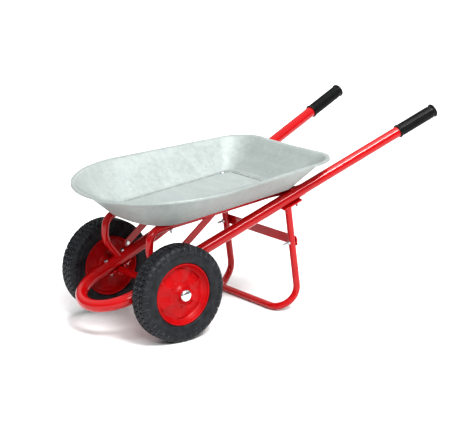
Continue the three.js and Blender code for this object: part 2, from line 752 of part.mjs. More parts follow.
function trayGeometry() {
  const inside = wallSteps.map(([mix, share]) => sheetRing(mix, share, SHEET / 2));
  const outside = wallSteps.map(([mix, share]) => sheetRing(mix, share, -SHEET / 2)).reverse();
  const bead = beadRings().map(([mix, drop]) => sheetRing(mix, 1, drop + SHEET / 2));
  const rings = [...inside, ...bead, ...outside];
  const count = rings[0].length;
  const points = rings.flat();
  const middleIn = new THREE.Vector3(0, 200, floorAt(200) + SHEET);
  const middleOut = new THREE.Vector3(0, 200, floorAt(200));
  points.push(middleIn, middleOut);
  const index = [];
  for (let r = 0; r < rings.length - 1; r += 1) {
    for (let k = 0; k < count; k += 1) {
      const a = r * count + k;
      const b = r * count + ((k + 1) % count);
      index.push(a, b + count, b, a, a + count, b + count);
    }
  }
  const last = (rings.length - 1) * count;
  for (let k = 0; k < count; k += 1) {
    const next = (k + 1) % count;
    index.push(points.length - 2, k, next);
    index.push(points.length - 1, last + next, last + k);
  }
  const geometry = new THREE.BufferGeometry().setFromPoints(points);
  geometry.setIndex(index);
  return geometry;
}

function buildTray() {
  const holes = [];
  for (const [, side] of SIDES) {
    holes.push(boltHole(20).applyMatrix4(floorMatrix(side * FRONT_BOLT.x, FRONT_BOLT.y)));
    holes.push(boltHole(20).applyMatrix4(floorMatrix(side * REAR_BOLT.x, REAR_BOLT.y)));
  }
  addPart('tray', cut(trayGeometry(), ...holes), galvanised);
  for (const [name, side] of SIDES) {
    const front = floorMatrix(side * FRONT_BOLT.x, FRONT_BOLT.y);
    const rear = floorMatrix(side * REAR_BOLT.x, REAR_BOLT.y);
    const seat = SHEET + GAP;
    addPart(`tray_bolt_front_${name}`, domeBolt(44).translate(0, 0, seat).applyMatrix4(front), zincPlate);
    const nut = hexNut().translate(0, 0, -2 * RAIL_R - 2 * GAP - HEX_HEIGHT / 2);
    addPart(`tray_nut_front_${name}`, nut.applyMatrix4(front), zincPlate);
    addPart(`tray_bolt_rear_${name}`, domeBolt(30).translate(0, 0, seat).applyMatrix4(rear), zincPlate);
  }
}

// ---------- assembly ----------

buildTray();
buildFrameTube();
buildHandles();
buildRails();
buildBraces();
buildLegs();
buildAxle();
for (const [name, side] of SIDES) buildWheel(name, side);
wheelbarrow.position.y = -ORIGIN_BACK;

export default wheelbarrow;
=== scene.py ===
"""Surfaces, finishes and studio for a two-wheeled wheelbarrow.

Sizes are in millimetres from the axle line and the floor, as on a maker's drawing. `metres` turns
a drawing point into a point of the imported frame. +X is the left side of someone pushing the
barrow, the nose looks along -Y and the grips reach back along +Y.
"""

from __future__ import annotations

import json
import logging
import math
from contextlib import contextmanager
from dataclasses import dataclass, field
from enum import Enum
from typing import Any, Iterable, Iterator, Sequence

import bmesh
import bpy
from mathutils import Matrix, Vector

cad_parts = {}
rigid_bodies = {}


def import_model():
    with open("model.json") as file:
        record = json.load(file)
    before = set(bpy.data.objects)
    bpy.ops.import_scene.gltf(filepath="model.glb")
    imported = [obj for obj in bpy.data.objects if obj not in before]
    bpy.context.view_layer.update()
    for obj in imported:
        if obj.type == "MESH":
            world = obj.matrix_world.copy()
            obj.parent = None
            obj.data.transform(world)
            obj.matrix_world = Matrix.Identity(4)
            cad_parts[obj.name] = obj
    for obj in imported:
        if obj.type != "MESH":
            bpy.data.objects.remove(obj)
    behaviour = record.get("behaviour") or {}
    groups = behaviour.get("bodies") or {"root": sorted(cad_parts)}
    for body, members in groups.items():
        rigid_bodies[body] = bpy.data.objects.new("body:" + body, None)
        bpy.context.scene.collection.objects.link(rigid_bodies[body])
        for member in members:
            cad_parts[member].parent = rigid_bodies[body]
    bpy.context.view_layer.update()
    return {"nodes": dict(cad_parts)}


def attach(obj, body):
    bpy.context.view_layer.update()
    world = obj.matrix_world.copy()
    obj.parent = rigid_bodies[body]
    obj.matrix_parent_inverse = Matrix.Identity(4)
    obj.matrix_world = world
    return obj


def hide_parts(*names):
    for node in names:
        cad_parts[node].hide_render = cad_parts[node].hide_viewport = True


LOG = logging.getLogger("wheelbarrow")
MM = 0.001
ORIGIN_BACK = 422.2  # from the middle of the footprint forward to the axle
GAP = 0.3
WELD = 1e-7  # metres under which corners merge
FULL_TURN = 2 * math.pi
QUARTER = math.pi / 2
HALF_FLAT = math.pi / 6  # half the angle of one side of a hexagon
SHARP_ANGLE = math.radians(50)  # a plate's edge is softened past this fold
Pair = tuple[float, float]
Triple = tuple[float, float, float]
Colour = Triple
Mesh = bpy.types.Mesh


class Side(Enum):
    """One of the two mirrored halves."""

    LEFT = 1
    RIGHT = -1

    @property
    def word(self) -> str:
        """The side's name as it stands in piece names."""
        return self.name.lower()


class Body(Enum):
    """The bodies that pieces ride on."""

    FRAME = "frame"
    WHEEL_LEFT = "wheel_left"
    WHEEL_RIGHT = "wheel_right"


# ---------- node graphs ----------


class Term:
    """A value socket that joins in Python arithmetic and adds the Math nodes for it."""

    def __init__(self, graph: Graph, socket: bpy.types.NodeSocket) -> None:
        """Keeps the graph and the output socket."""
        self.graph = graph
        self.socket = socket

    def __add__(self, other: Any) -> Term:
        """Sum of two values."""
        return self.graph.math("ADD", self, other)

    __radd__ = __add__

    def __sub__(self, other: Any) -> Term:
        """This value less another."""
        return self.graph.math("SUBTRACT", self, other)

    def __rsub__(self, other: Any) -> Term:
        """Another value less this one."""
        return self.graph.math("SUBTRACT", other, self)

    def __mul__(self, other: Any) -> Term:
        """Product of two values."""
        return self.graph.math("MULTIPLY", self, other)

    __rmul__ = __mul__

    def __truediv__(self, other: Any) -> Term:
        """This value divided by another."""
        return self.graph.math("DIVIDE", self, other)

    def rise(self, low: float, high: float) -> Term:
        """A smooth step from 0 at low to 1 at high."""
        made = self.graph.node(
            "ShaderNodeMapRange",
            {"interpolation_type": "SMOOTHSTEP", "clamp": True},
            {"Value": self, "From Min": low, "From Max": high},
        )
        return Term(self.graph, made.outputs["Result"])


class Graph:
    """Adds nodes to one shader or geometry tree."""

    def __init__(self, tree: bpy.types.NodeTree) -> None:
        """Keeps the tree."""
        self.tree = tree

    def node(
        self,
        kind: str,
        settings: dict[str, Any] | None = None,
        inputs: dict[Any, Any] | None = None,
    ) -> bpy.types.Node:
        """Adds one node.

        Args:
            kind: the node's type name.
            settings: properties, set before any socket; "stops" fills a colour ramp.
            inputs: values or links by socket name or number.

        Returns:
            The new node.
        """
        made = self.tree.nodes.new(kind)
        for key, value in (settings or {}).items():
            if key == "stops":
                self.fill_ramp(made, value)
            else:
                setattr(made, key, value)
        for key, value in (inputs or {}).items():
            self.feed(made.inputs[key], value)
        return made

    def fill_ramp(self, made: bpy.types.Node, stops: Sequence[tuple[float, Colour]]) -> None:
        """Gives a colour ramp its stops.

        Args:
            made: the ramp node.
            stops: position and colour of each stop, in order.
        """
        elements = made.color_ramp.elements
        while len(elements) < len(stops):
            elements.new(0.5)
        for element, (position, colour) in zip(elements, stops):
            element.position = position
            element.color = (*colour, 1.0)

    def feed(self, socket: bpy.types.NodeSocket, value: Any) -> None:
        """Links or sets one input socket.

        Args:
            socket: the input.
            value: a term, an output socket or a plain value.
        """
        if isinstance(value, Term):
            self.tree.links.new(value.socket, socket)
        elif isinstance(value, bpy.types.NodeSocket):
            self.tree.links.new(value, socket)
        elif socket.type == "RGBA" and len(value) == 3:
            socket.default_value = (*value, 1.0)
        else:
            socket.default_value = value

    def math(self, operation: str, *values: Any) -> Term:
        """One Math node over values."""
        made = self.node("ShaderNodeMath", {"operation": operation}, dict(enumerate(values)))
        return Term(self, made.outputs[0])

    def place(self) -> bpy.types.NodeSocket:
        """Object coordinates, in metres."""
        return self.node("ShaderNodeTexCoord").outputs["Object"]

    def stretched(self, at: Any, scale: Triple, turn: Triple = (0.0, 0.0, 0.0)) -> Any:
        """Coordinates turned, then scaled by axis."""
        inputs = {"Vector": at, "Rotation": turn, "Scale": scale}
        return self.node("ShaderNodeMapping", None, inputs).outputs[0]

    def noise(self, at: Any, scale: float, detail: float = 3.0, rough: float = 0.55) -> Term:
        """Fractal noise between 0 and 1."""
        inputs = {"Vector": at, "Scale": scale, "Detail": detail, "Roughness": rough}
        return Term(self, self.node("ShaderNodeTexNoise", None, inputs).outputs[0])

    def cells(self, at: Any, scale: float) -> Term:
        """A random value for each cell of a crystal-like pattern.

        Args:
            at: coordinates.
            scale: cells per metre.

        Returns:
            The cell's value between 0 and 1.
        """
        made = self.node("ShaderNodeTexVoronoi", None, {"Vector": at, "Scale": scale})
        parts = self.node("ShaderNodeSeparateColor", None, {0: made.outputs["Color"]})
        return Term(self, parts.outputs[0])

    def split(self, at: Any) -> tuple[Term, Term, Term]:
        """The three coordinates as values."""
        made = self.node("ShaderNodeSeparateXYZ", None, {0: at})
        return Term(self, made.outputs[0]), Term(self, made.outputs[1]), Term(self, made.outputs[2])

    def layered(self, share: Any, under: Any, over: Any) -> bpy.types.NodeSocket:
        """Mixes two colours."""
        settings = {"data_type": "RGBA", "clamp_factor": True}
        return self.node("ShaderNodeMix", settings, {0: share, 6: under, 7: over}).outputs[2]

    def bump(self, height: Term, strength: float, distance: float) -> bpy.types.NodeSocket:
        """A normal from a height value."""
        inputs = {"Height": height, "Strength": strength, "Distance": distance}
        return self.node("ShaderNodeBump", None, inputs).outputs[0]

    def attribute(self, name: str) -> Term:
        """A value painted on the mesh, 0 where the mesh has none."""
        made = self.node("ShaderNodeAttribute", {"attribute_name": name})
        return Term(self, made.outputs["Fac"])


# ---------- finishes ----------


@dataclass(frozen=True)
class Finish:
    """A named surface whose slot names its one material."""

    slot: str

    def shade(self, graph: Graph) -> dict[str, Any]:
        """Principled inputs of the finish."""
        raise NotImplementedError

    def material(self) -> bpy.types.Material:
        """The finish's material, made once.

        Returns:
            The Blender material.
        """
        name = f"{self.slot}_finish"
        made = bpy.data.materials.get(name)
        if made is None:
            made = bpy.data.materials.new(name)
            made.use_nodes = True
            made.node_tree.nodes.clear()
            graph = Graph(made.node_tree)
            surface = graph.node("ShaderNodeBsdfPrincipled", None, self.shade(graph))
            graph.node("ShaderNodeOutputMaterial", None, {"Surface": surface.outputs[0]})
        return made


@dataclass(frozen=True)
class RedPaint(Finish):
    """Glossy powder paint with a fine peel and a few scuffs."""

    slot: str = "red_paint"
    deep: Colour = (0.37, 0.002, 0.004)
    bright: Colour = (0.47, 0.004, 0.006)
    worn: Colour = (0.30, 0.035, 0.035)
    steel: Colour = (0.20, 0.17, 0.16)

    def shade(self, graph: Graph) -> dict[str, Any]:
        """Cloudy red with fine peel, scuffs and bare rubbed spots near the floor.

        Args:
            graph: the material's graph.

        Returns:
            Principled inputs.
        """
        at = graph.place()
        cloud = graph.noise(at, 11.0, 3.0)
        peel = graph.noise(at, 420.0, 2.0)
        scuff = graph.noise(at, 170.0, 5.0).rise(0.60, 0.70)
        scuff = scuff * graph.noise(at, 23.0, 2.0).rise(0.52, 0.68)
        height = graph.split(at)[2]
        rubbed = (1.0 - height.rise(0.0006, 0.0045)) * graph.noise(at, 60.0, 4.0).rise(0.40, 0.56)
        colour = graph.layered(cloud, self.deep, self.bright)
        colour = graph.layered(scuff * 0.35, colour, self.worn)
        colour = graph.layered(rubbed, colour, self.steel)
        return {
            "Base Color": colour,
            "Roughness": 0.11 + cloud * 0.07 + scuff * 0.22 + rubbed * 0.3,
            "Specular IOR Level": 0.16,
            "Coat Weight": 0.52 - scuff * 0.3,
            "Coat Roughness": 0.05,
            "Normal": graph.bump(peel + scuff * -0.6, 0.06, 0.0005),
        }


@dataclass(frozen=True)
class Galvanised(Finish):
    """Hot-dipped sheet with spangle, cloudy patches, drawing streaks and painted shade in its creases."""

    slot: str = "galvanised"
    dark: Colour = (0.275, 0.31, 0.30)
    light: Colour = (0.40, 0.44, 0.425)
    stain: Colour = (0.22, 0.262, 0.278)
    # colour of the painted shade laid into the floor creases
    grime: Colour = (0.12, 0.13, 0.125)

    def shade(self, graph: Graph) -> dict[str, Any]:
        """Spangle cells broken up by noise, with streaks, stains and painted shade in the creases.

        Args:
            graph: the material's graph.

        Returns:
            Principled inputs.
        """
        at = graph.place()
        spangle = graph.cells(at, 95.0)
        feather = graph.noise(graph.stretched(at, (1.0, 0.55, 1.0), (0.0, 0.0, 0.5)), 260.0, 4.0)
        patch = graph.noise(at, 5.0, 4.0, 0.6)
        streak = graph.noise(graph.stretched(at, (4.0, 38.0, 22.0)), 1.0, 4.0, 0.6)
        tone = spangle * 0.12 + feather * 0.14 + patch * 0.44 + streak * 0.36
        colour = graph.layered(tone.rise(0.26, 0.80), self.dark, self.light)
        colour = graph.layered(patch.rise(0.54, 0.80) * 0.45, colour, self.stain)
        # painted shade in the floor creases, mottled by noise
        crevice = graph.attribute("crevice") * (0.35 + 0.65 * graph.noise(at, 60.0, 3.0).rise(0.3, 0.6))
        colour = graph.layered(crevice * 0.8, colour, self.grime)
        return {
            "Base Color": colour,
            "Metallic": 0.28 + spangle * 0.08,
            "Roughness": 0.38 + spangle * 0.06 + patch * 0.12,
            "Specular IOR Level": 0.4,
            "Normal": graph.bump(feather * 0.5 + streak * 0.5, 0.10, 0.0006),
        }


@dataclass(frozen=True)
class BrightMetal(Finish):
    """Zinc plate, drawn steel or chrome, told apart by tone and polish."""

    slot: str
    dark: Colour
    light: Colour
    polish: float
    spread: float

    def shade(self, graph: Graph) -> dict[str, Any]:
        """Metal with cloudy polish, fine scratches and a faint tarnish.

        Args:
            graph: the material's graph.

        Returns:
            Principled inputs.
        """
        at = graph.place()
        cloud = graph.noise(at, 130.0, 4.0)
        scratch = graph.noise(graph.stretched(at, (60.0, 900.0, 900.0)), 1.0, 3.0)
        return {
            "Base Color": graph.layered(cloud.rise(0.3, 0.7), self.dark, self.light),
            "Metallic": 1.0,
            "Roughness": self.polish + self.spread * cloud + self.spread * 0.5 * scratch,
            "Normal": graph.bump(scratch, 0.05, 0.0003),
        }


@dataclass(frozen=True)
class TyreRubber(Finish):
    """Near-black solid rubber, greyed with dust in hollows and on worn edges."""

    slot: str = "tyre_rubber"
    fresh: Colour = (0.005, 0.006, 0.0075)
    grey: Colour = (0.019, 0.021, 0.025)
    dust: Colour = (0.22, 0.235, 0.25)

    def shade(self, graph: Graph) -> dict[str, Any]:
        """Mottled rubber with paler block edges.

        Args:
            graph: the material's graph.

        Returns:
            Principled inputs.
        """
        at = graph.place()
        mottle = graph.noise(at, 40.0, 5.0, 0.65)
        grain = graph.noise(at, 800.0, 3.0)
        wear = graph.attribute("wear") * graph.noise(at, 220.0, 2.0).rise(0.30, 0.62)
        colour = graph.layered(mottle.rise(0.35, 0.72), self.fresh, self.grey)
        colour = graph.layered(wear * 0.55, colour, self.dust)
        return {
            "Base Color": colour,
            "Roughness": 0.42 + mottle * 0.18 + wear * 0.1,
            "Specular IOR Level": 0.30,
            "Normal": graph.bump(grain + mottle * 0.6, 0.22, 0.0008),
        }


@dataclass(frozen=True)
class GripRubber(Finish):
    """Black moulded rubber, slightly shiny where hands rub it."""

    slot: str = "grip_rubber"
    dark: Colour = (0.003, 0.003, 0.0035)
    light: Colour = (0.007, 0.0075, 0.008)

    def shade(self, graph: Graph) -> dict[str, Any]:
        """Fine leathery grain with rubbed patches.

        Args:
            graph: the material's graph.

        Returns:
            Principled inputs.
        """
        at = graph.place()
        rub = graph.noise(at, 26.0, 3.0)
        grain = graph.noise(at, 950.0, 3.0)
        return {
            "Base Color": graph.layered(rub.rise(0.3, 0.75), self.dark, self.light),
            "Roughness": 0.32 - rub.rise(0.4, 0.7) * 0.10 + grain * 0.08,
            "Specular IOR Level": 0.20,
            "Normal": graph.bump(grain, 0.12, 0.0005),
        }


@dataclass(frozen=True)
class MouldedPlastic(Finish):
    """Injection-moulded plastic with flow marks and a faint satin texture."""

    slot: str
    dark: Colour
    light: Colour
    polish: float

    def shade(self, graph: Graph) -> dict[str, Any]:
        """Cloudy plastic with fine texture and dulled spots.

        Args:
            graph: the material's graph.

        Returns:
            Principled inputs.
        """
        at = graph.place()
        flow = graph.noise(graph.stretched(at, (6.0, 14.0, 14.0)), 1.0, 4.0, 0.6)
        texture = graph.noise(at, 650.0, 2.0)
        dull = graph.noise(at, 70.0, 4.0).rise(0.5, 0.75)
        return {
            "Base Color": graph.layered(flow.rise(0.25, 0.75), self.dark, self.light),
            "Roughness": self.polish + dull * 0.14 + texture * 0.05,
            "Specular IOR Level": 0.20,
            "Normal": graph.bump(texture + flow * 0.4, 0.09, 0.0006),
        }


@dataclass(frozen=True)
class StudioFloor(Finish):
    """Pale matt studio floor with the faintest clouding."""

    slot: str = "floor"
    tone: Colour = (0.90, 0.90, 0.90)
    dim: Colour = (0.885, 0.885, 0.888)

    def shade(self, graph: Graph) -> dict[str, Any]:
        """Nearly even pale matt."""
        cloud = graph.noise(graph.place(), 1.5, 2.0)
        return {
            "Base Color": graph.layered(cloud, self.dim, self.tone),
            "Roughness": 0.9,
            "Specular IOR Level": 0.1,
        }


RED_PAINT = RedPaint()
GALVANISED = Galvanised()
ZINC = BrightMetal("zinc", (0.40, 0.41, 0.43), (0.66, 0.67, 0.69), 0.24, 0.16)
STEEL = BrightMetal("steel", (0.36, 0.37, 0.38), (0.58, 0.59, 0.60), 0.22, 0.14)
CHROME = BrightMetal("chrome", (0.70, 0.71, 0.73), (0.86, 0.87, 0.88), 0.05, 0.07)
TYRE_RUBBER = TyreRubber()
GRIP_RUBBER = GripRubber()
RED_PLASTIC = MouldedPlastic("red_plastic", (0.33, 0.002, 0.004), (0.43, 0.004, 0.006), 0.28)
BUSH_PLASTIC = MouldedPlastic("bush_plastic", (0.015, 0.015, 0.016), (0.035, 0.035, 0.036), 0.42)


# ---------- mesh making ----------


def metres(point: Vector) -> Vector:
    """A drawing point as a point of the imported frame, in metres."""
    return Vector((point.x, point.y - ORIGIN_BACK, point.z)) * MM


def solid(points: Iterable[Vector], faces: Iterable[Sequence[int]]) -> Mesh:
    """A closed mesh whose faces point outwards.

    Args:
        points: corners in metres.
        faces: corner numbers of each face.

    Returns:
        The mesh.
    """
    mesh = bpy.data.meshes.new("solid")
    mesh.from_pydata([tuple(p) for p in points], [], [tuple(f) for f in faces])
    return tidied(mesh)


@contextmanager
def editing(mesh: Mesh) -> Iterator[bmesh.types.BMesh]:
    """Opens a mesh for editing and writes it back afterwards.

    Args:
        mesh: the mesh.

    Returns:
        The open copy, as a context.
    """
    work = bmesh.new()
    work.from_mesh(mesh)
    yield work
    work.to_mesh(mesh)
    work.free()


def tidied(mesh: Mesh) -> Mesh:
    """Welds a closed mesh and turns it right side out.

    Args:
        mesh: the mesh to tidy.

    Returns:
        The same mesh.
    """
    with editing(mesh) as work:
        bmesh.ops.remove_doubles(work, verts=work.verts, dist=WELD)
        bmesh.ops.dissolve_degenerate(work, edges=work.edges, dist=WELD)
        bmesh.ops.recalc_face_normals(work, faces=work.faces)
        if work.calc_volume(signed=True) < 0:
            bmesh.ops.reverse_faces(work, faces=work.faces)
    return mesh


def joined(*meshes: Mesh) -> Mesh:
    """Several meshes as one.

    Args:
        meshes: the meshes; they share one finish.

    Returns:
        One mesh with all their faces.
    """
    work = bmesh.new()
    for mesh in meshes:
        work.from_mesh(mesh)
    for face in work.faces:
        face.material_index = 0
    whole = bpy.data.meshes.new("joined")
    work.to_mesh(whole)
    work.free()
    return whole


def loft(rings: Sequence[Sequence[Vector]], around: bool = True) -> Mesh:
    """A skin over rings with equal counts.

    Args:
        rings: rings of points in metres.
        around: True if the last ring joins the first; if not, a face closes each end.

    Returns:
        The closed mesh.
    """
    count = len(rings[0])
    points = [p for ring in rings for p in ring]
    faces: list[tuple[int, ...]] = []
    spans = len(rings) if around else len(rings) - 1
    for r in range(spans):
        here, there = r * count, ((r + 1) % len(rings)) * count
        for k in range(count):
            nxt = (k + 1) % count
            faces.append((here + k, here + nxt, there + nxt, there + k))
    if not around:
        faces.append(tuple(range(count)))
        faces.append(tuple(len(points) - count + k for k in reversed(range(count))))
    return solid(points, faces)


def turned(profile: Sequence[Pair], segments: int, place: Matrix) -> Mesh:
    """A body of revolution about the local X axis.

    Args:
        profile: (x, radius) of a closed outline, in millimetres.
        segments: number of steps round the axis.
        place: matrix from local millimetres to drawing millimetres.

    Returns:
        The closed mesh.
    """
    rings = []
    for k in range(segments):
        a = FULL_TURN * k / segments
        rings.append([metres(place @ Vector((x, r * math.cos(a), r * math.sin(a)))) for x, r in profile])
    return loft(rings)


def slab(outline: Sequence[Pair], low: float, high: float, place: Matrix, edge: float = 0.7) -> Mesh:
    """A flat plate with softened edges.

    Args:
        outline: corners (u, v) in millimetres.
        low: lower face's height.
        high: upper face's height.
        place: matrix from local (u, v, height) to drawing millimetres.
        edge: size of the softened edge in millimetres.

    Returns:
        The closed mesh.
    """
    rings = [[metres(place @ Vector((u, v, z))) for u, v in outline] for z in (low, high)]
    mesh = loft(rings, around=False)
    with editing(mesh) as work:
        sharp = [e for e in work.edges if e.calc_face_angle(0.0) > SHARP_ANGLE]
        bmesh.ops.bevel(work, geom=sharp, offset=edge * MM, segments=3, profile=0.6,
                        affect="EDGES", clamp_overlap=True)
    return mesh


def arc(radius: float, start: float, end: float, steps: int, centre: Pair = (0.0, 0.0)) -> list[Pair]:
    """Points along a circular arc."""
    angles = [start + (end - start) * k / steps for k in range(steps + 1)]
    return [(centre[0] + radius * math.cos(a), centre[1] + radius * math.sin(a)) for a in angles]


def circle(radius: float, height: float, count: int) -> list[Vector]:
    """A ring of points round Z, in metres, from sizes in millimetres."""
    return [Vector((x, y, height)) * MM for x, y in arc(radius, 0.0, FULL_TURN, count)[:-1]]


def mirrored(half: Sequence[Vector]) -> list[Vector]:
    """The stations of the other half, in the order that goes on from this one."""
    return [Vector((-p.x, p.y, p.z)) for p in reversed(half)]


def framed(spot: Sequence[float], x: Vector, y: Vector, z: Vector) -> Matrix:
    """Matrix at a spot whose columns are three unit directions."""
    return Matrix.Translation(spot) @ Matrix((x, y, z)).transposed().to_4x4()


def clamped(value: float) -> float:
    """The value kept between 0 and 1."""
    return min(max(value, 0.0), 1.0)


def linked(name: str, data: bpy.types.ID) -> bpy.types.Object:
    """A new object in the scene.

    Args:
        name: its name.
        data: its mesh, camera or light.

    Returns:
        The object.
    """
    made = bpy.data.objects.new(name, data)
    bpy.context.scene.collection.objects.link(made)
    return made


def smoothed(points: Sequence[Sequence[float]], steps: int) -> list[tuple[float, ...]]:
    """A smooth run through points, by the Catmull-Rom rule.

    Args:
        points: points of any dimension.
        steps: steps between neighbours.

    Returns:
        The finer run, both ends among them.
    """
    run: list[tuple[float, ...]] = []
    last = len(points) - 1
    for i in range(last):
        p0, p1, p2, p3 = (points[min(max(i + d, 0), last)] for d in (-1, 0, 1, 2))
        for k in range(steps):
            t = k / steps
            run.append(tuple(
                0.5 * (2 * b + (c - a) * t + (2 * a - 5 * b + 4 * c - d) * t * t
                       + (3 * b - a - 3 * c + d) * t ** 3)
                for a, b, c, d in zip(p0, p1, p2, p3)))
    run.append(tuple(points[-1]))
    return run


def rounded_route(corners: Sequence[Vector], radii: Sequence[float], steps: int) -> list[Vector]:
    """Stations along a bent line whose inner corners are rounded.

    Args:
        corners: the line's corners.
        radii: bend radius at each inner corner.
        steps: steps along each bend.

    Returns:
        The stations.
    """
    stations = [corners[0].copy()]
    for i in range(1, len(corners) - 1):
        back = (corners[i - 1] - corners[i]).normalized()
        ahead = (corners[i + 1] - corners[i]).normalized()
        half = back.angle(ahead) / 2
        reach = radii[i - 1] / math.tan(half)
        centre = corners[i] + (back + ahead).normalized() * (radii[i - 1] / math.sin(half))
        start = corners[i] + back * reach - centre
        end = corners[i] + ahead * reach - centre
        sweep = start.angle(end)
        for k in range(steps + 1):
            t = k / steps
            a = math.sin((1 - t) * sweep) / math.sin(sweep)
            b = math.sin(t * sweep) / math.sin(sweep)
            stations.append(start * a + end * b + centre)
    stations.append(corners[-1].copy())
    return stations


def painted(mesh: Mesh, weights: Sequence[float]) -> Mesh:
    """Writes the wear value of each corner.

    Args:
        mesh: the mesh.
        weights: one value for each vertex.

    Returns:
        The same mesh.
    """
    wear = mesh.attributes.new("wear", "FLOAT", "POINT")
    wear.data.foreach_set("value", list(weights))
    return mesh


def piece(
    name: str, mesh: Mesh, finish: Finish, body: Body, nodes: Sequence[str], crease: float = 38.0
) -> None:
    """Puts a finished mesh on its body.

    Args:
        name: the piece's name.
        mesh: its mesh, in place.
        finish: its surface.
        body: what it rides on.
        nodes: the CAD nodes that it stands for.
        crease: angle in degrees past which an edge stays sharp.
    """
    mesh.name = name
    mesh.materials.clear()
    mesh.materials.append(finish.material())
    mesh.shade_smooth()
    mesh.set_sharp_from_angle(angle=math.radians(crease))
    made = linked(name, mesh)
    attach(made, body.value)
    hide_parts(*nodes)
    LOG.info("%s: %d faces on %s, for %s", name, len(mesh.polygons), body.value, ", ".join(nodes))


def steelwork(name: str, mesh: Mesh, node: str) -> None:
    """Puts one painted steel part on the frame, in place of one CAD node."""
    piece(name, mesh, RED_PAINT, Body.FRAME, [node])


# ---------- geometry node recipes ----------


class Recipe:
    """A geometry node tree with named inputs, run on a mesh and turned into a plain mesh."""

    def __init__(self, name: str, sockets: Sequence[tuple[str, str]]) -> None:
        """Makes the tree and its inputs.

        Args:
            name: the tree's name.
            sockets: label and kind of each input after the geometry.
        """
        self.tree = bpy.data.node_groups.new(name, "GeometryNodeTree")
        self.ids: dict[str, str] = {}
        for label, kind in (("Geometry", "Geometry"), *sockets, ("Material", "Material")):
            item = self.tree.interface.new_socket(
                name=label, in_out="INPUT", socket_type=f"NodeSocket{kind}")
            self.ids[label] = item.identifier
        self.tree.interface.new_socket(
            name="Geometry", in_out="OUTPUT", socket_type="NodeSocketGeometry")
        self.graph = Graph(self.tree)
        self.entry = self.graph.node("NodeGroupInput")

    def given(self, label: str) -> bpy.types.NodeSocket:
        """The tree's input with that label."""
        return self.entry.outputs[label]

    def close(self, geometry: bpy.types.NodeSocket) -> None:
        """Ends the tree in real geometry with its material.

        Args:
            geometry: the geometry to put out.
        """
        real = self.graph.node("GeometryNodeRealizeInstances", None, {0: geometry})
        inputs = {"Geometry": real.outputs[0], "Material": self.given("Material")}
        dressed = self.graph.node("GeometryNodeSetMaterial", None, inputs)
        self.graph.node("NodeGroupOutput", None, {0: dressed.outputs[0]})

    def run(self, mesh: Mesh, finish: Finish, **values: Any) -> Mesh:
        """Runs the tree on a mesh.

        Args:
            mesh: the mesh that goes in.
            finish: the finish of what comes out.
            values: the other inputs by label, with _ for a space.

        Returns:
            The plain mesh that comes out.
        """
        holder = linked("holder", mesh)
        modifier = holder.modifiers.new("recipe", "NODES")
        modifier.node_group = self.tree
        modifier[self.ids["Material"]] = finish.material()
        for label, value in values.items():
            modifier[self.ids[label.replace("_", " ")]] = value
        graph = bpy.context.evaluated_depsgraph_get()
        made = bpy.data.meshes.new_from_object(holder.evaluated_get(graph))
        bpy.data.objects.remove(holder)
        return made


class SweptTube(Recipe):
    """A round tube along a line."""

    def __init__(self) -> None:
        """Builds the tree: line to curve, then a circle swept along it with closed ends."""
        super().__init__("swept_tube", (("Radius", "Float"), ("Sides", "Int")))
        graph = self.graph
        line = graph.node("GeometryNodeMeshToCurve", None, {"Mesh": self.given("Geometry")})
        circle = graph.node("GeometryNodeCurvePrimitiveCircle", {"mode": "RADIUS"}, {
            "Resolution": self.given("Sides"), "Radius": self.given("Radius")})
        wall = graph.node("GeometryNodeCurveToMesh", None, {
            "Curve": line.outputs[0], "Profile Curve": circle.outputs[0], "Fill Caps": True})
        self.close(wall.outputs[0])

    def along(self, stations: Sequence[Vector], radius: float, sides: int = 40) -> Mesh:
        """Sweeps one painted tube.

        Args:
            stations: centre line in drawing millimetres.
            radius: outside radius in millimetres.
            sides: facets round the tube.

        Returns:
            The closed tube.
        """
        line = bpy.data.meshes.new("line")
        edges = [(k, k + 1) for k in range(len(stations) - 1)]
        line.from_pydata([tuple(metres(p)) for p in stations], edges, [])
        return tidied(self.run(line, RED_PAINT, Radius=radius * MM, Sides=sides))


class RingOfCopies(Recipe):
    """Copies of one block turned round an axis that runs along X."""

    def __init__(self) -> None:
        """Builds the tree: points at the axis with one turned copy on each."""
        super().__init__("ring_of_copies", (("Count", "Int"), ("Turn", "Float")))
        graph = self.graph
        line = graph.node("GeometryNodeMeshLine", {"mode": "OFFSET"}, {
            "Count": self.given("Count"), "Offset": (0.0, 0.0, 0.0)})
        number = Term(graph, graph.node("GeometryNodeInputIndex").outputs[0])
        angle = number / self.given("Count") * FULL_TURN + self.given("Turn")
        turn = graph.node("ShaderNodeCombineXYZ", None, {0: angle})
        copies = graph.node("GeometryNodeInstanceOnPoints", None, {
            "Points": line.outputs[0], "Instance": self.given("Geometry"), "Rotation": turn.outputs[0]})
        self.close(copies.outputs[0])

    def placed(self, block: Mesh, finish: Finish, count: int, turn: float, place: Matrix) -> Mesh:
        """A ring of one block, put in its place.

        Args:
            block: the block beside the local X axis, in metres.
            finish: its finish.
            count: how many copies.
            turn: angle by which the ring is turned.
            place: matrix from local millimetres to drawing millimetres.

        Returns:
            The mesh of the ring.
        """
        made = self.run(block, finish, Count=count, Turn=turn)
        for vertex in made.vertices:
            vertex.co = metres(place @ (vertex.co / MM))
        return made


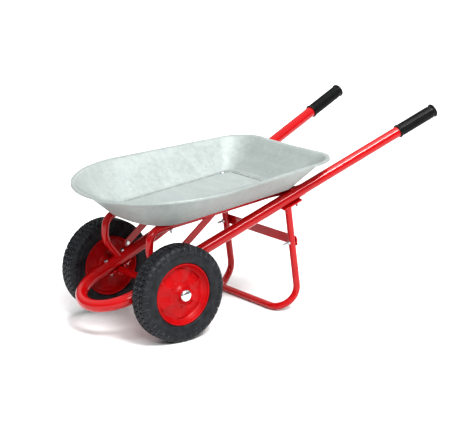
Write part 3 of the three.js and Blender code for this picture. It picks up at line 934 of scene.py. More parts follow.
class ShapeOnPoints(Recipe):
    """One shape on every point, its Z turned to the point's axis."""

    def __init__(self) -> None:
        """Builds the tree: the shape set on points by their stored axis."""
        super().__init__("shape_on_points", (("Shape", "Object"),))
        graph = self.graph
        shape = graph.node("GeometryNodeObjectInfo", None, {"Object": self.given("Shape")})
        axis = graph.node("GeometryNodeInputNamedAttribute", {"data_type": "FLOAT_VECTOR"}, {
            "Name": "axis"})
        turn = graph.node("FunctionNodeAlignRotationToVector", {"axis": "Z"}, {
            "Vector": axis.outputs["Attribute"]})
        copies = graph.node("GeometryNodeInstanceOnPoints", None, {
            "Points": self.given("Geometry"), "Instance": shape.outputs["Geometry"],
            "Rotation": turn.outputs[0]})
        self.close(copies.outputs[0])


@dataclass
class Workshop:
    """The recipes that all sub-assemblies share."""

    tube: SweptTube = field(default_factory=SweptTube)
    ring: RingOfCopies = field(default_factory=RingOfCopies)
    shapes: ShapeOnPoints = field(default_factory=ShapeOnPoints)


# ---------- the planes that the barrow is drawn in ----------


@dataclass(frozen=True)
class FramePlane:
    """The sloping plane of the two long tubes and the hoop."""

    slope: float = math.radians(22.95)
    height: float = 194.4
    spread: float = math.radians(7.15)
    spread_start: float = 162.0
    spread_bend: float = 160.0
    half_width: float = 132.3
    tube: float = 20.4
    axle_drop: float = 34.4

    @property
    def along(self) -> Vector:
        """Direction up the plane."""
        return Vector((0.0, math.cos(self.slope), math.sin(self.slope)))

    @property
    def normal(self) -> Vector:
        """Direction off the plane."""
        return Vector((0.0, -math.sin(self.slope), math.cos(self.slope)))

    def point(self, x: float, along: float, up: float = 0.0) -> Vector:
        """A drawing point from plane coordinates."""
        return Vector((x, 0.0, self.height)) + self.along * along + self.normal * up

    def tube_x(self, along: float) -> float:
        """Distance of a tube's centre from the middle."""
        return self.half_width + max(along - self.spread_start, 0.0) * math.tan(self.spread)

    def on_tube(self, side: Side, along: float) -> Matrix:
        """Matrix whose Y runs up one tube and whose Z stands off the plane.

        Args:
            side: which tube.
            along: distance up the tube.

        Returns:
            The matrix, in drawing millimetres.
        """
        lean = side.value * self.spread if along > self.spread_start else 0.0
        y = Vector((math.sin(lean), 0.0, 0.0)) + self.along * math.cos(lean)
        x = y.cross(self.normal)
        spot = self.point(side.value * self.tube_x(along), along)
        return framed(spot, x, y, self.normal)


@dataclass(frozen=True)
class LegPlane:
    """The plane that both legs lean in."""

    lean: float = math.radians(8.3)
    x: float = 187.6
    knee_y: float = 512.2
    knee_z: float = 92.9
    bar_rise: float = 154.0

    @property
    def down(self) -> Vector:
        """Direction down a leg."""
        return Vector((0.0, math.sin(self.lean), -math.cos(self.lean)))

    @property
    def back(self) -> Vector:
        """Direction off the back of the legs."""
        return Vector((0.0, math.cos(self.lean), math.sin(self.lean)))

    def point(self, x: float, rise: float) -> Vector:
        """A drawing point at a height up the legs."""
        return Vector((x, self.knee_y, self.knee_z)) - self.down * rise

    def at_bar(self, x: float) -> Matrix:
        """Matrix at the cross bar's height whose Z looks backwards."""
        return framed(self.point(x, self.bar_rise), Vector((1.0, 0.0, 0.0)), self.down, self.back)


@dataclass(frozen=True)
class FloorPlane:
    """The sloping underside of the tray floor."""

    slope: float = 0.112
    height: float = 371.8
    sheet: float = 1.6
    rail: float = 13.0
    depth_front: float = 115.2
    depth_fall: float = 0.0377
    droop: float = 6.0
    droop_start: float = 106.0
    nose: float = -203.0

    def at(self, y: float) -> float:
        """Height of the underside."""
        return self.height + self.slope * y

    def rail_at(self, y: float) -> float:
        """Height of a rail's centre line."""
        return self.at(y) - (self.rail + GAP) / math.cos(math.atan(self.slope))

    def depth(self, y: float) -> float:
        """Height of the rim over the floor plane."""
        ahead = max(self.droop_start - y, 0.0) / (self.droop_start - self.nose)
        return self.depth_front - self.depth_fall * y - self.droop * ahead ** 2

    def square(self, x: float, y: float) -> Matrix:
        """Matrix that stands square to the floor at a point of its underside."""
        angle = math.atan(self.slope)
        back = Vector((0.0, math.cos(angle), math.sin(angle)))
        up = Vector((0.0, -math.sin(angle), math.cos(angle)))
        return framed((x, y, self.at(y)), Vector((1.0, 0.0, 0.0)), back, up)


FRAME_PLANE = FramePlane()
LEG_PLANE = LegPlane()
FLOOR_PLANE = FloorPlane()
UPRIGHT_CROSS = Matrix(((0, 0, 1, 0), (1, 0, 0, 0), (0, 1, 0, 0), (0, 0, 0, 1)))


# ---------- tray ----------


@dataclass(frozen=True)
class TrayLevel:
    """Outline of the tray at one height."""

    nose: float
    rear: float
    front: float
    back: float
    corner: float
    straight: float
    blend: float
    bow: float

    def mixed(self, other: TrayLevel, share: float) -> TrayLevel:
        """An outline part of the way to another."""
        pairs = ((getattr(self, n), getattr(other, n)) for n in self.__dataclass_fields__)
        return TrayLevel(*(mine + (theirs - mine) * share for mine, theirs in pairs))

    def ring(self) -> list[Pair]:
        """The closed outline as (x, y) points, the same count at every level."""
        half = []
        nose_steps, side_steps, corner_steps, rear_steps = 54, 22, 18, 14
        for k in range(nose_steps):
            a = k / nose_steps * QUARTER
            half.append((self.front * math.sin(a) ** (2 / self.blend),
                         self.straight + (self.nose - self.straight) * math.cos(a) ** (2 / self.blend)))
        for k in range(side_steps):
            t = k / side_steps
            half.append((self.front + (self.back - self.front) * t,
                         self.straight + (self.rear - self.corner - self.straight) * t))
        for k in range(corner_steps):
            a = k / corner_steps * QUARTER
            half.append((self.back - self.corner + self.corner * math.cos(a),
                         self.rear - self.corner + self.corner * math.sin(a)))
        for k in range(rear_steps + 1):
            t = k / rear_steps
            half.append(((self.back - self.corner) * (1 - t), self.rear + self.bow * t * (2 - t)))
        return half + [(-x, y) for x, y in reversed(half[1:-1])]


@dataclass
class Tray:
    """Pressed sheet tray with a creased floor, flared walls and a rolled rim."""

    floor: TrayLevel = TrayLevel(-50.0, 498.0, 178.0, 178.0, 36.0, 64.0, 2.6, 0.0)
    rim: TrayLevel = TrayLevel(-203.0, 633.0, 332.0, 283.0, 112.0, 106.0, 2.03, -7.0)
    bead: float = 4.0
    bead_steps: int = 12
    bead_middle: float = 0.995
    bead_share: float = 0.0108
    wall_steps: int = 5
    crease: float = 1.5
    wall: tuple[Pair, ...] = (
        (0.0, 0.0), (0.045, 0.012), (0.09, 0.045), (0.13, 0.09), (0.5, 0.52), (0.84, 0.93),
        (0.875, 0.965), (0.905, 0.985), (0.96, 0.997), (0.985, 1.0))
    middle: Pair = (0.0, 224.0)
    panels: tuple[Pair, ...] = (
        (0.06, 0.0), (0.35, 0.0), (0.65, 0.0), (0.85, 0.0), (0.935, 0.0), (0.945, -0.15), (0.952, -1.0),
        (0.958, -1.0), (0.965, -0.15), (0.975, 0.0), (0.985, 0.0))
    first_groove: int = 5
    last_groove: int = 8

    def wall_ring(self, share: float, height: float, lift: float) -> list[Vector]:
        """One ring of the wall."""
        plane = FLOOR_PLANE
        return [metres(Vector((x, y, plane.at(y) + plane.sheet / 2 + plane.depth(y) * height + lift)))
                for x, y in self.floor.mixed(self.rim, share).ring()]

    def floor_ring(self, share: float, raised: float, lift: float) -> list[Vector]:
        """One ring of the floor.

        Args:
            share: how far from the floor's middle to its edge.
            raised: share of the crease height.
            lift: extra height in millimetres.

        Returns:
            Points in metres.
        """
        plane, (mx, my) = FLOOR_PLANE, self.middle
        made = []
        for x, y in self.floor.ring():
            u, v = mx + (x - mx) * share, my + (y - my) * share
            z = plane.at(v) + plane.sheet / 2 + raised * self.crease + lift
            made.append(metres(Vector((u, v, z))))
        return made

    def mesh(self) -> Mesh:
        """The whole sheet: inner face, rolled rim, outer face, with the crease rings marked for painted
        shade.

        Returns:
            The closed mesh.
        """
        half = FLOOR_PLANE.sheet / 2
        steps = smoothed(self.wall, self.wall_steps)
        inner = [self.floor_ring(s, r, half) for s, r in self.panels]
        inner += [self.wall_ring(s, h, half) for s, h in steps]
        outer = [self.floor_ring(s, r, -half) for s, r in self.panels]
        outer += [self.wall_ring(s, h, -half) for s, h in steps]
        rolled = []
        for k in range(self.bead_steps + 1):
            a = math.pi * (0.5 - 1.5 * k / self.bead_steps)
            share = self.bead_middle + self.bead_share * math.cos(a)
            rolled.append(self.wall_ring(share, 1.0, half - self.bead + self.bead * math.sin(a)))
        rings = [*inner, *rolled, *reversed(outer)]
        mesh = loft(rings, around=False)
        # marks the floor's crease and groove rings, where the finish paints shade into the colour
        crevice = mesh.attributes.new("crevice", "FLOAT", "POINT")
        count = len(rings[0])
        if len(mesh.vertices) == count * len(rings):
            edge = len(self.panels)
            dark = {*range(self.first_groove, self.last_groove + 1), edge, edge + 1}
            crevice.data.foreach_set("value", [1.0 if k // count in dark else 0.0
                                               for k in range(len(mesh.vertices))])
        LOG.info("tray sheet: %d corners, grooves marked", len(mesh.vertices))
        return mesh

    def build(self) -> None:
        """Makes and dresses the tray."""
        piece("tray_sheet", self.mesh(), GALVANISED, Body.FRAME, ["tray"], crease=60.0)


# ---------- tubes ----------


@dataclass
class FrameTubes:
    """Hoop tube, telescoped handles and their grips."""

    workshop: Workshop
    hoop_centre: float = -93.6
    tube_end: float = 579.0
    handle: float = 18.9
    handle_start: float = 545.0
    grip_start: float = 995.0
    grip_length: float = 162.0
    handle_stop: float = 6.0
    grip_core: float = 20.3
    grip_top: float = 21.9
    grip_flange: float = 24.0
    core_start: float = 9.0
    core_stop: float = 11.0
    ribs: int = 14
    rib_pitch: float = 6.0
    rib_half: float = 2.9
    rib_root: float = 1.5
    inset: float = 0.06
    bend_steps: int = 10
    hoop_steps: int = 30
    hoop_sides: int = 48
    grip_sides: int = 96

    def hoop_route(self) -> list[Vector]:
        """Centre line from one tube end round the hoop to the other.

        Returns:
            The stations in drawing millimetres.
        """
        plane = FRAME_PLANE
        bend = [plane.point(plane.tube_x(self.tube_end), self.tube_end),
                plane.point(plane.half_width, plane.spread_start),
                plane.point(plane.half_width, self.hoop_centre)]
        half = rounded_route(bend, [plane.spread_bend], self.bend_steps)
        for x, along in arc(plane.half_width, 0.0, QUARTER, self.hoop_steps):
            half.append(plane.point(x, self.hoop_centre - along))
        half = [p for i, p in enumerate(half) if i == 0 or (p - half[i - 1]).length > 0.01]
        return half + mirrored(half[:-1])

    def grip_mesh(self, side: Side) -> Mesh:
        """Grip with collar, ribs and end flange.

        Args:
            side: which handle.

        Returns:
            The joined mesh.
        """
        core, flange, length = self.grip_core, self.grip_flange, self.grip_length
        outline = [(0.0, 0.0), (0.0, flange - 2.0), (0.6, flange - 0.7), (2.2, flange), (4.6, flange),
                   (6.4, flange - 0.8), (7.6, flange - 2.2), (self.core_start, core),
                   (length - self.core_stop, core),
                   (length - 8.0, flange - 1.6), (length - 6.6, flange - 0.4), (length - 5.6, flange),
                   (length - 2.4, flange), (length - 1.2, flange - 0.9), (length - 0.7, flange - 2.6),
                   (length - 0.7, 9.0), (length - 2.0, 7.5), (length - 2.0, 0.0)]
        along_y = Matrix.Rotation(QUARTER, 4, "Z")
        place = FRAME_PLANE.on_tube(side, self.grip_start) @ along_y
        copies = self.workshop.ring.placed(self.rib_mesh(), GRIP_RUBBER, self.ribs, 0.0, place)
        return joined(turned(outline, self.grip_sides, place), copies)

    def rib_mesh(self) -> Mesh:
        """One notched rib along local X, in metres.

        Returns:
            The closed rib.
        """
        half, root = self.rib_half, self.grip_core - self.rib_root
        rings, x = [], self.core_start
        while x < self.grip_length - self.core_stop - self.rib_pitch:
            for offset, top in ((0.0, 0.35), (0.7, 1.0), (4.2, 1.0), (4.9, 0.35)):
                height = self.grip_core + (self.grip_top - self.grip_core) * top
                rings.append([Vector((x + offset, y, z)) * MM for y, z in (
                    (-half, root), (-half, height - 0.5), (-half * 0.6, height),
                    (half * 0.6, height), (half, height - 0.5), (half, root))])
            x += self.rib_pitch
        return loft(rings, around=False)

    def build(self) -> None:
        """Makes and dresses the hoop tube, both handles and both grips."""
        tube = self.workshop.tube
        hoop = tube.along(self.hoop_route(), FRAME_PLANE.tube - self.inset, self.hoop_sides)
        steelwork("hoop_tube", hoop, "main_frame")
        grip_end = self.grip_start + (self.grip_length - self.handle_stop) * math.cos(FRAME_PLANE.spread)
        for side in Side:
            route = [FRAME_PLANE.point(side.value * FRAME_PLANE.tube_x(a), a)
                     for a in (self.handle_start, grip_end)]
            steelwork(f"handle_tube_{side.word}", tube.along(route, self.handle), f"handle_{side.word}")
            piece(f"handle_grip_{side.word}", self.grip_mesh(side), GRIP_RUBBER, Body.FRAME,
                  [f"grip_{side.word}"], crease=30.0)


@dataclass
class TrayCarrier:
    """Rails, braces and lugs that carry the tray."""

    workshop: Workshop
    rail_foot: Pair = (5.0, 196.0)
    rail_knee: Pair = (-56.0, 272.0)
    rail_shoulder: float = -49.0
    rail_bend: float = 446.0
    rail_end: Pair = (171.7, 555.7)
    rail_radii: Triple = (60.0, 45.0, 120.0)
    rail_steps: int = 14
    rail_sides: int = 32
    brace_width: float = 25.0
    brace_thick: float = 4.0
    brace_slope: float = math.radians(38.0)
    brace_along: float = 50.0
    brace_up: float = 35.5
    lug_front: float = 9.0
    lug_rear: float = 18.0
    lug_foot: float = 8.0
    lug_corner: float = 0.4

    def pivot(self, side: Side) -> Vector:
        """Centre of a brace's bolt."""
        return FRAME_PLANE.point(side.value * FRAME_PLANE.half_width, self.brace_along, self.brace_up)

    def rail_route(self, side: Side) -> list[Vector]:
        """Centre line of a rail.

        Args:
            side: which rail.

        Returns:
            The stations in drawing millimetres.
        """
        x, plane = FRAME_PLANE.half_width, FLOOR_PLANE
        end_x, end_y = self.rail_end
        line = [(x, *self.rail_foot), (x, *self.rail_knee),
                (x, self.rail_shoulder, plane.rail_at(self.rail_shoulder)),
                (x, self.rail_bend, plane.rail_at(self.rail_bend)), (end_x, end_y, plane.rail_at(end_y))]
        corners = [Vector((side.value * u, v, w)) for u, v, w in line]
        return rounded_route(corners, self.rail_radii, self.rail_steps)

    def brace_outline(self, side: Side) -> list[Pair]:
        """Flat bar with a round foot, long enough to end inside the rail."""
        spot, half = self.pivot(side), self.brace_width / 2
        gap = FLOOR_PLANE.rail_at(spot.y) - spot.z
        length = gap / (math.sin(self.brace_slope) - FLOOR_PLANE.slope * math.cos(self.brace_slope))
        return [(length, -half), (length, half), *arc(half, QUARTER, math.pi * 1.5, 16)]

    def build(self) -> None:
        """Makes and dresses the rails, braces and lugs of both sides."""
        for side in Side:
            rail = self.workshop.tube.along(self.rail_route(side), FLOOR_PLANE.rail, self.rail_sides)
            steelwork(f"rail_tube_{side.word}", rail, f"tray_rail_{side.word}")
            half = self.brace_thick / 2
            spot = Matrix.Translation(self.pivot(side)) @ UPRIGHT_CROSS
            turned_up = spot @ Matrix.Rotation(self.brace_slope, 4, "Z")
            bar = slab(self.brace_outline(side), -half, half, turned_up)
            steelwork(f"brace_bar_{side.word}", bar, f"brace_{side.word}")
            foot, r = -self.brace_up + self.lug_foot, self.brace_width / 2
            crown = arc(r, self.lug_corner, math.pi - self.lug_corner, 16)
            outline = [(-self.lug_front, foot), (self.lug_rear, foot), *crown]
            offset = side.value * (self.brace_thick + GAP)
            beside = spot @ Matrix.Translation((0.0, 0.0, offset))
            lug = slab(outline, -half, half, beside @ Matrix.Rotation(FRAME_PLANE.slope, 4, "Z"))
            steelwork(f"lug_plate_{side.word}", lug, f"brace_lug_{side.word}")


@dataclass
class LegFrame:
    """Bent leg tube, its mounting plates and the cross bar."""

    workshop: Workshop
    tube: float = 12.0
    inset: float = 0.02
    sides: int = 32
    length: float = 310.0
    floor_bar_y: float = 446.7
    floor_bar_half: float = 127.9
    sweep_leg: float = 58.7
    sweep_bar: float = 55.7
    plate_middle: float = 521.5
    plate_length: float = 75.0
    plate_width: float = 46.0
    plate_thick: float = 5.0
    plate_corner: float = 5.0
    sunk: float = 1.0
    bar_half: float = 197.4
    bar_height: float = 35.0
    bar_thick: float = 4.0
    bar_corner: float = 6.0

    def route(self) -> list[Vector]:
        """Centre line up one leg, along the floor bar and up the other.

        Returns:
            The stations in drawing millimetres.
        """
        plane, steps = LEG_PLANE, 30
        end = Vector((self.floor_bar_half, self.floor_bar_y, self.tube))
        pulls = (plane.point(plane.x, 0.0), plane.point(plane.x, -self.sweep_leg),
                 end + Vector((self.sweep_bar, 0.0, 0.0)), end)
        half = [plane.point(plane.x, self.length)]
        for k in range(steps + 1):
            t = k / steps
            weights = ((1 - t) ** 3, 3 * t * (1 - t) ** 2, 3 * t * t * (1 - t), t ** 3)
            half.append(sum((p * w for p, w in zip(pulls, weights)), Vector()))
        return half + mirrored(half)

    def tube_mesh(self) -> Mesh:
        """Leg tube trimmed under the mounting plates.

        Returns:
            The closed mesh.
        """
        mesh = self.workshop.tube.along(self.route(), self.tube - self.inset, self.sides)
        under = self.sunk - FRAME_PLANE.tube - self.plate_thick
        spot = metres(FRAME_PLANE.point(0.0, self.plate_middle, under))
        with editing(mesh) as work:
            cut = bmesh.ops.bisect_plane(
                work, geom=[*work.verts, *work.edges, *work.faces], clear_outer=True,
                plane_co=spot, plane_no=FRAME_PLANE.normal)
            rims = [e for e in cut["geom_cut"] if isinstance(e, bmesh.types.BMEdge)]
            bmesh.ops.holes_fill(work, edges=rims)
        return mesh

    def build(self) -> None:
        """Makes and dresses the leg tube, the plates and the cross bar."""
        steelwork("leg_tube", self.tube_mesh(), "leg_frame")
        square = rounded_box(self.plate_width / 2, self.plate_length / 2, self.plate_corner)
        top = -FRAME_PLANE.tube - GAP
        for side in Side:
            place = FRAME_PLANE.on_tube(side, self.plate_middle)
            plate = slab(square, top - self.plate_thick, top, place)
            steelwork(f"mounting_plate_{side.word}", plate, f"leg_plate_{side.word}")
        near = self.tube + GAP
        outline = rounded_box(self.bar_half, self.bar_height / 2, self.bar_corner)
        bar = slab(outline, near, near + self.bar_thick, LEG_PLANE.at_bar(0.0), 1.0)
        steelwork("cross_bar", bar, "leg_crossbar")


def rounded_box(half_u: float, half_v: float, corner: float) -> list[Pair]:
    """Outline of a rectangle with round corners.

    Args:
        half_u: half its width.
        half_v: half its height.
        corner: corner radius.

    Returns:
        The corners in order.
    """
    u, v = half_u - corner, half_v - corner
    outline: list[Pair] = []
    for turn, (su, sv) in enumerate(((1, 1), (-1, 1), (-1, -1), (1, -1))):
        start = turn * QUARTER
        outline += arc(corner, start, start + QUARTER, 6, (su * u, sv * v))
    return outline


@dataclass
class Axle:
    """Axle tube with the straps that hang it from the frame tubes."""

    height: float = 160.0
    tube: float = 12.5
    tube_half: float = 169.0
    bore: float = 8.6
    chamfer: float = 0.8
    strap_width: float = 30.0
    strap_thick: float = 4.0
    strap_ear: float = 47.0

    def strap_outline(self) -> list[Pair]:
        """Side view of a strap: two ears and a half round."""
        inner = self.tube + GAP
        outer = inner + self.strap_thick
        top = -FRAME_PLANE.tube - GAP + FRAME_PLANE.axle_drop * math.cos(FRAME_PLANE.slope)
        low = top - self.strap_thick
        return [(-self.strap_ear, top), (-self.strap_ear, low), (-outer, low),
                *arc(outer, math.pi, FULL_TURN, 20), (outer, low), (self.strap_ear, low),
                (self.strap_ear, top), (inner, top), *arc(inner, 0.0, -math.pi, 20), (-inner, top)]

    def build(self) -> None:
        """Makes and dresses the axle tube and the straps."""
        end, r, cut = self.tube_half, self.tube, self.chamfer
        outline = [(-end, self.bore), (-end, r - cut), (-end + cut, r), (end - cut, r), (end, r - cut),
                   (end, self.bore)]
        middle = Matrix.Translation((0.0, 0.0, self.height))
        steelwork("axle_sleeve", turned(outline, 40, middle), "axle_tube")
        half = self.strap_width / 2
        for side in Side:
            spot = Matrix.Translation((side.value * FRAME_PLANE.half_width, 0.0, self.height))
            place = spot @ UPRIGHT_CROSS @ Matrix.Rotation(FRAME_PLANE.slope, 4, "Z")
            strap = slab(self.strap_outline(), -half, half, place)
            steelwork(f"strap_{side.word}", strap, f"axle_strap_{side.word}")


# ---------- fasteners ----------


class Fastener(Enum):
    """The shapes that the fasteners come in."""

    HEX = "hex head"
    NUT = "nut with a short bolt end"
    PLATE_NUT = "nut with the handle bolt's end"
    BAR_NUT = "nut with the cross bar bolt's end"
    DOME = "dome head"
    HANDLE_DOME = "painted dome head"


@dataclass
class Fasteners:
    """Every bolt and nut of the frame, set on points by one recipe."""

    workshop: Workshop
    head: float = 7.4
    height: float = 6.0
    washer: float = 0.6
    facets: int = 24
    bolt: float = 4.0
    thread_root: float = 3.45
    thread_pitch: float = 1.25
    stub: float = 6.0
    plate_stub: float = 13.0
    bar_stub: float = 20.0
    dome: float = 9.0
    dome_rise: float = 4.0
    dome_steps: int = 9
    seat: float = 0.4
    strap_bolt: float = 35.5
    plate_bolt: float = 543.0
    front: Pair = (132.3, 27.6)
    rear: Pair = (168.0, 459.0)
    spots: dict[Fastener, list[tuple[Vector, Vector]]] = field(
        default_factory=lambda: {kind: [] for kind in Fastener})

    def hex_mesh(self) -> Mesh:
        """Hex head on a washer face, its top edge chamfered."""
        washer = [circle(self.head, z, self.facets) for z in (0.0, self.washer)]
        return joined(loft(washer, around=False), self.prism(self.washer, self.height))

    def prism(self, low: float, high: float) -> Mesh:
        """Hexagonal block with a round chamfer on top."""
        rings = []
        for z, share in ((low, 0.97), (low + 0.5, 1.0), (high - 0.7, 1.0), (high, 0.88)):
            ring = []
            for k in range(self.facets):
                a = FULL_TURN * k / self.facets
                flat = math.cos(HALF_FLAT) / math.cos((a + HALF_FLAT) % (2 * HALF_FLAT) - HALF_FLAT)
                ring.append(Vector((math.cos(a), math.sin(a), 0.0)) * min(flat, share) * self.head * MM
                            + Vector((0.0, 0.0, z)) * MM)
            rings.append(ring)
        return loft(rings, around=False)

    def nut_mesh(self, stub: float) -> Mesh:
        """Nut with that length of threaded bolt standing out of it."""
        rings, z, top = [], self.height - 1.0, self.height + stub
        while z < top - 1.3:
            for lift, r in ((0.0, self.thread_root), (0.6, self.bolt), (1.2, self.thread_root)):
                rings.append(circle(r, z + lift, 20))
            z += self.thread_pitch
        rings.append(circle(3.0, top, 20))
        return joined(self.prism(0.0, self.height), loft(rings, around=False))

    def dome_mesh(self) -> Mesh:
        """Low dome head."""
        rings = []
        for k in range(self.dome_steps):
            a = k / self.dome_steps * QUARTER
            rings.append(circle(self.dome * math.cos(a), self.dome_rise * math.sin(a), 28))
        return loft(rings, around=False)

    def add(self, kind: Fastener, place: Matrix, lift: float, down: bool = False) -> None:
        """Notes one fastener."""
        axis = (place.to_3x3() @ Vector((0.0, 0.0, -1.0 if down else 1.0))).normalized()
        self.spots[kind].append((place @ Vector((0.0, 0.0, lift)), axis))

    def lay_out(self) -> None:
        """Notes all fasteners of both sides."""
        tube, axle_along = FRAME_PLANE.tube, -FRAME_PLANE.axle_drop * math.sin(FRAME_PLANE.slope)
        carrier, lug = TrayCarrier(self.workshop), TrayCarrier.brace_thick
        for side in Side:
            for along in (axle_along - self.strap_bolt, axle_along + self.strap_bolt):
                place = FRAME_PLANE.on_tube(side, along)
                self.add(Fastener.HEX, place, tube - GAP)
                self.add(Fastener.NUT, place, -tube - 2 * GAP - Axle.strap_thick, down=True)
            plate = FRAME_PLANE.on_tube(side, self.plate_bolt)
            self.add(Fastener.HANDLE_DOME, plate, tube - self.seat)
            self.add(Fastener.PLATE_NUT, plate, -tube - LegFrame.plate_thick - 2 * GAP, down=True)
            bar = LEG_PLANE.at_bar(side.value * LEG_PLANE.x)
            self.add(Fastener.HEX, bar, LegFrame.tube + LegFrame.bar_thick + 2 * GAP)
            self.add(Fastener.BAR_NUT, bar, GAP - LegFrame.tube, down=True)
            turn = Matrix.Rotation(-side.value * QUARTER, 4, "Y")
            inward = Matrix.Translation(carrier.pivot(side)) @ turn
            self.add(Fastener.HEX, inward, lug / 2 + GAP)
            self.add(Fastener.NUT, inward, -1.5 * lug - 2 * GAP, down=True)
            for x, y in (self.front, self.rear):
                floor = FLOOR_PLANE.square(side.value * x, y)
                self.add(Fastener.DOME, floor, FLOOR_PLANE.sheet + GAP)
            front = FLOOR_PLANE.square(side.value * self.front[0], self.front[1])
            self.add(Fastener.NUT, front, -2 * FLOOR_PLANE.rail - 2 * GAP, down=True)

    def copies(self, kind: Fastener, shape: Mesh, finish: Finish) -> Mesh:
        """All fasteners of one kind.

        Args:
            kind: which kind.
            shape: the mesh of one.
            finish: their finish.

        Returns:
            Their joined mesh.
        """
        sample = linked("sample", shape)
        cloud = bpy.data.meshes.new("spots")
        cloud.from_pydata([tuple(metres(p)) for p, _ in self.spots[kind]], [], [])
        axis = cloud.attributes.new("axis", "FLOAT_VECTOR", "POINT")
        axis.data.foreach_set("vector", [c for _, a in self.spots[kind] for c in a])
        made = self.workshop.shapes.run(cloud, finish, Shape=sample)
        bpy.data.objects.remove(sample)
        return made

    def build(self) -> None:
        """Makes and dresses the zinc fasteners as one piece and the painted heads as another."""
        self.lay_out()
        shapes = {Fastener.HEX: self.hex_mesh(), Fastener.NUT: self.nut_mesh(self.stub),
                  Fastener.PLATE_NUT: self.nut_mesh(self.plate_stub),
                  Fastener.BAR_NUT: self.nut_mesh(self.bar_stub), Fastener.DOME: self.dome_mesh()}
        mesh = joined(*(self.copies(kind, shape, ZINC) for kind, shape in shapes.items()))
        nodes = []
        for side in Side:
            nodes += [f"{name}_{side.word}" for name in (
                "handle_nut", "crossbar_bolt", "crossbar_nut", "brace_bolt", "brace_nut",
                "strap_bolt_front", "strap_bolt_rear", "strap_nut_front", "strap_nut_rear",
                "tray_bolt_front", "tray_bolt_rear", "tray_nut_front")]
        piece("fasteners", mesh, ZINC, Body.FRAME, nodes, crease=28.0)
        heads = self.copies(Fastener.HANDLE_DOME, self.dome_mesh(), RED_PAINT)
        piece("painted_heads", heads, RED_PAINT, Body.FRAME, [f"handle_bolt_{side.word}" for side in Side])


# ---------- wheels ----------


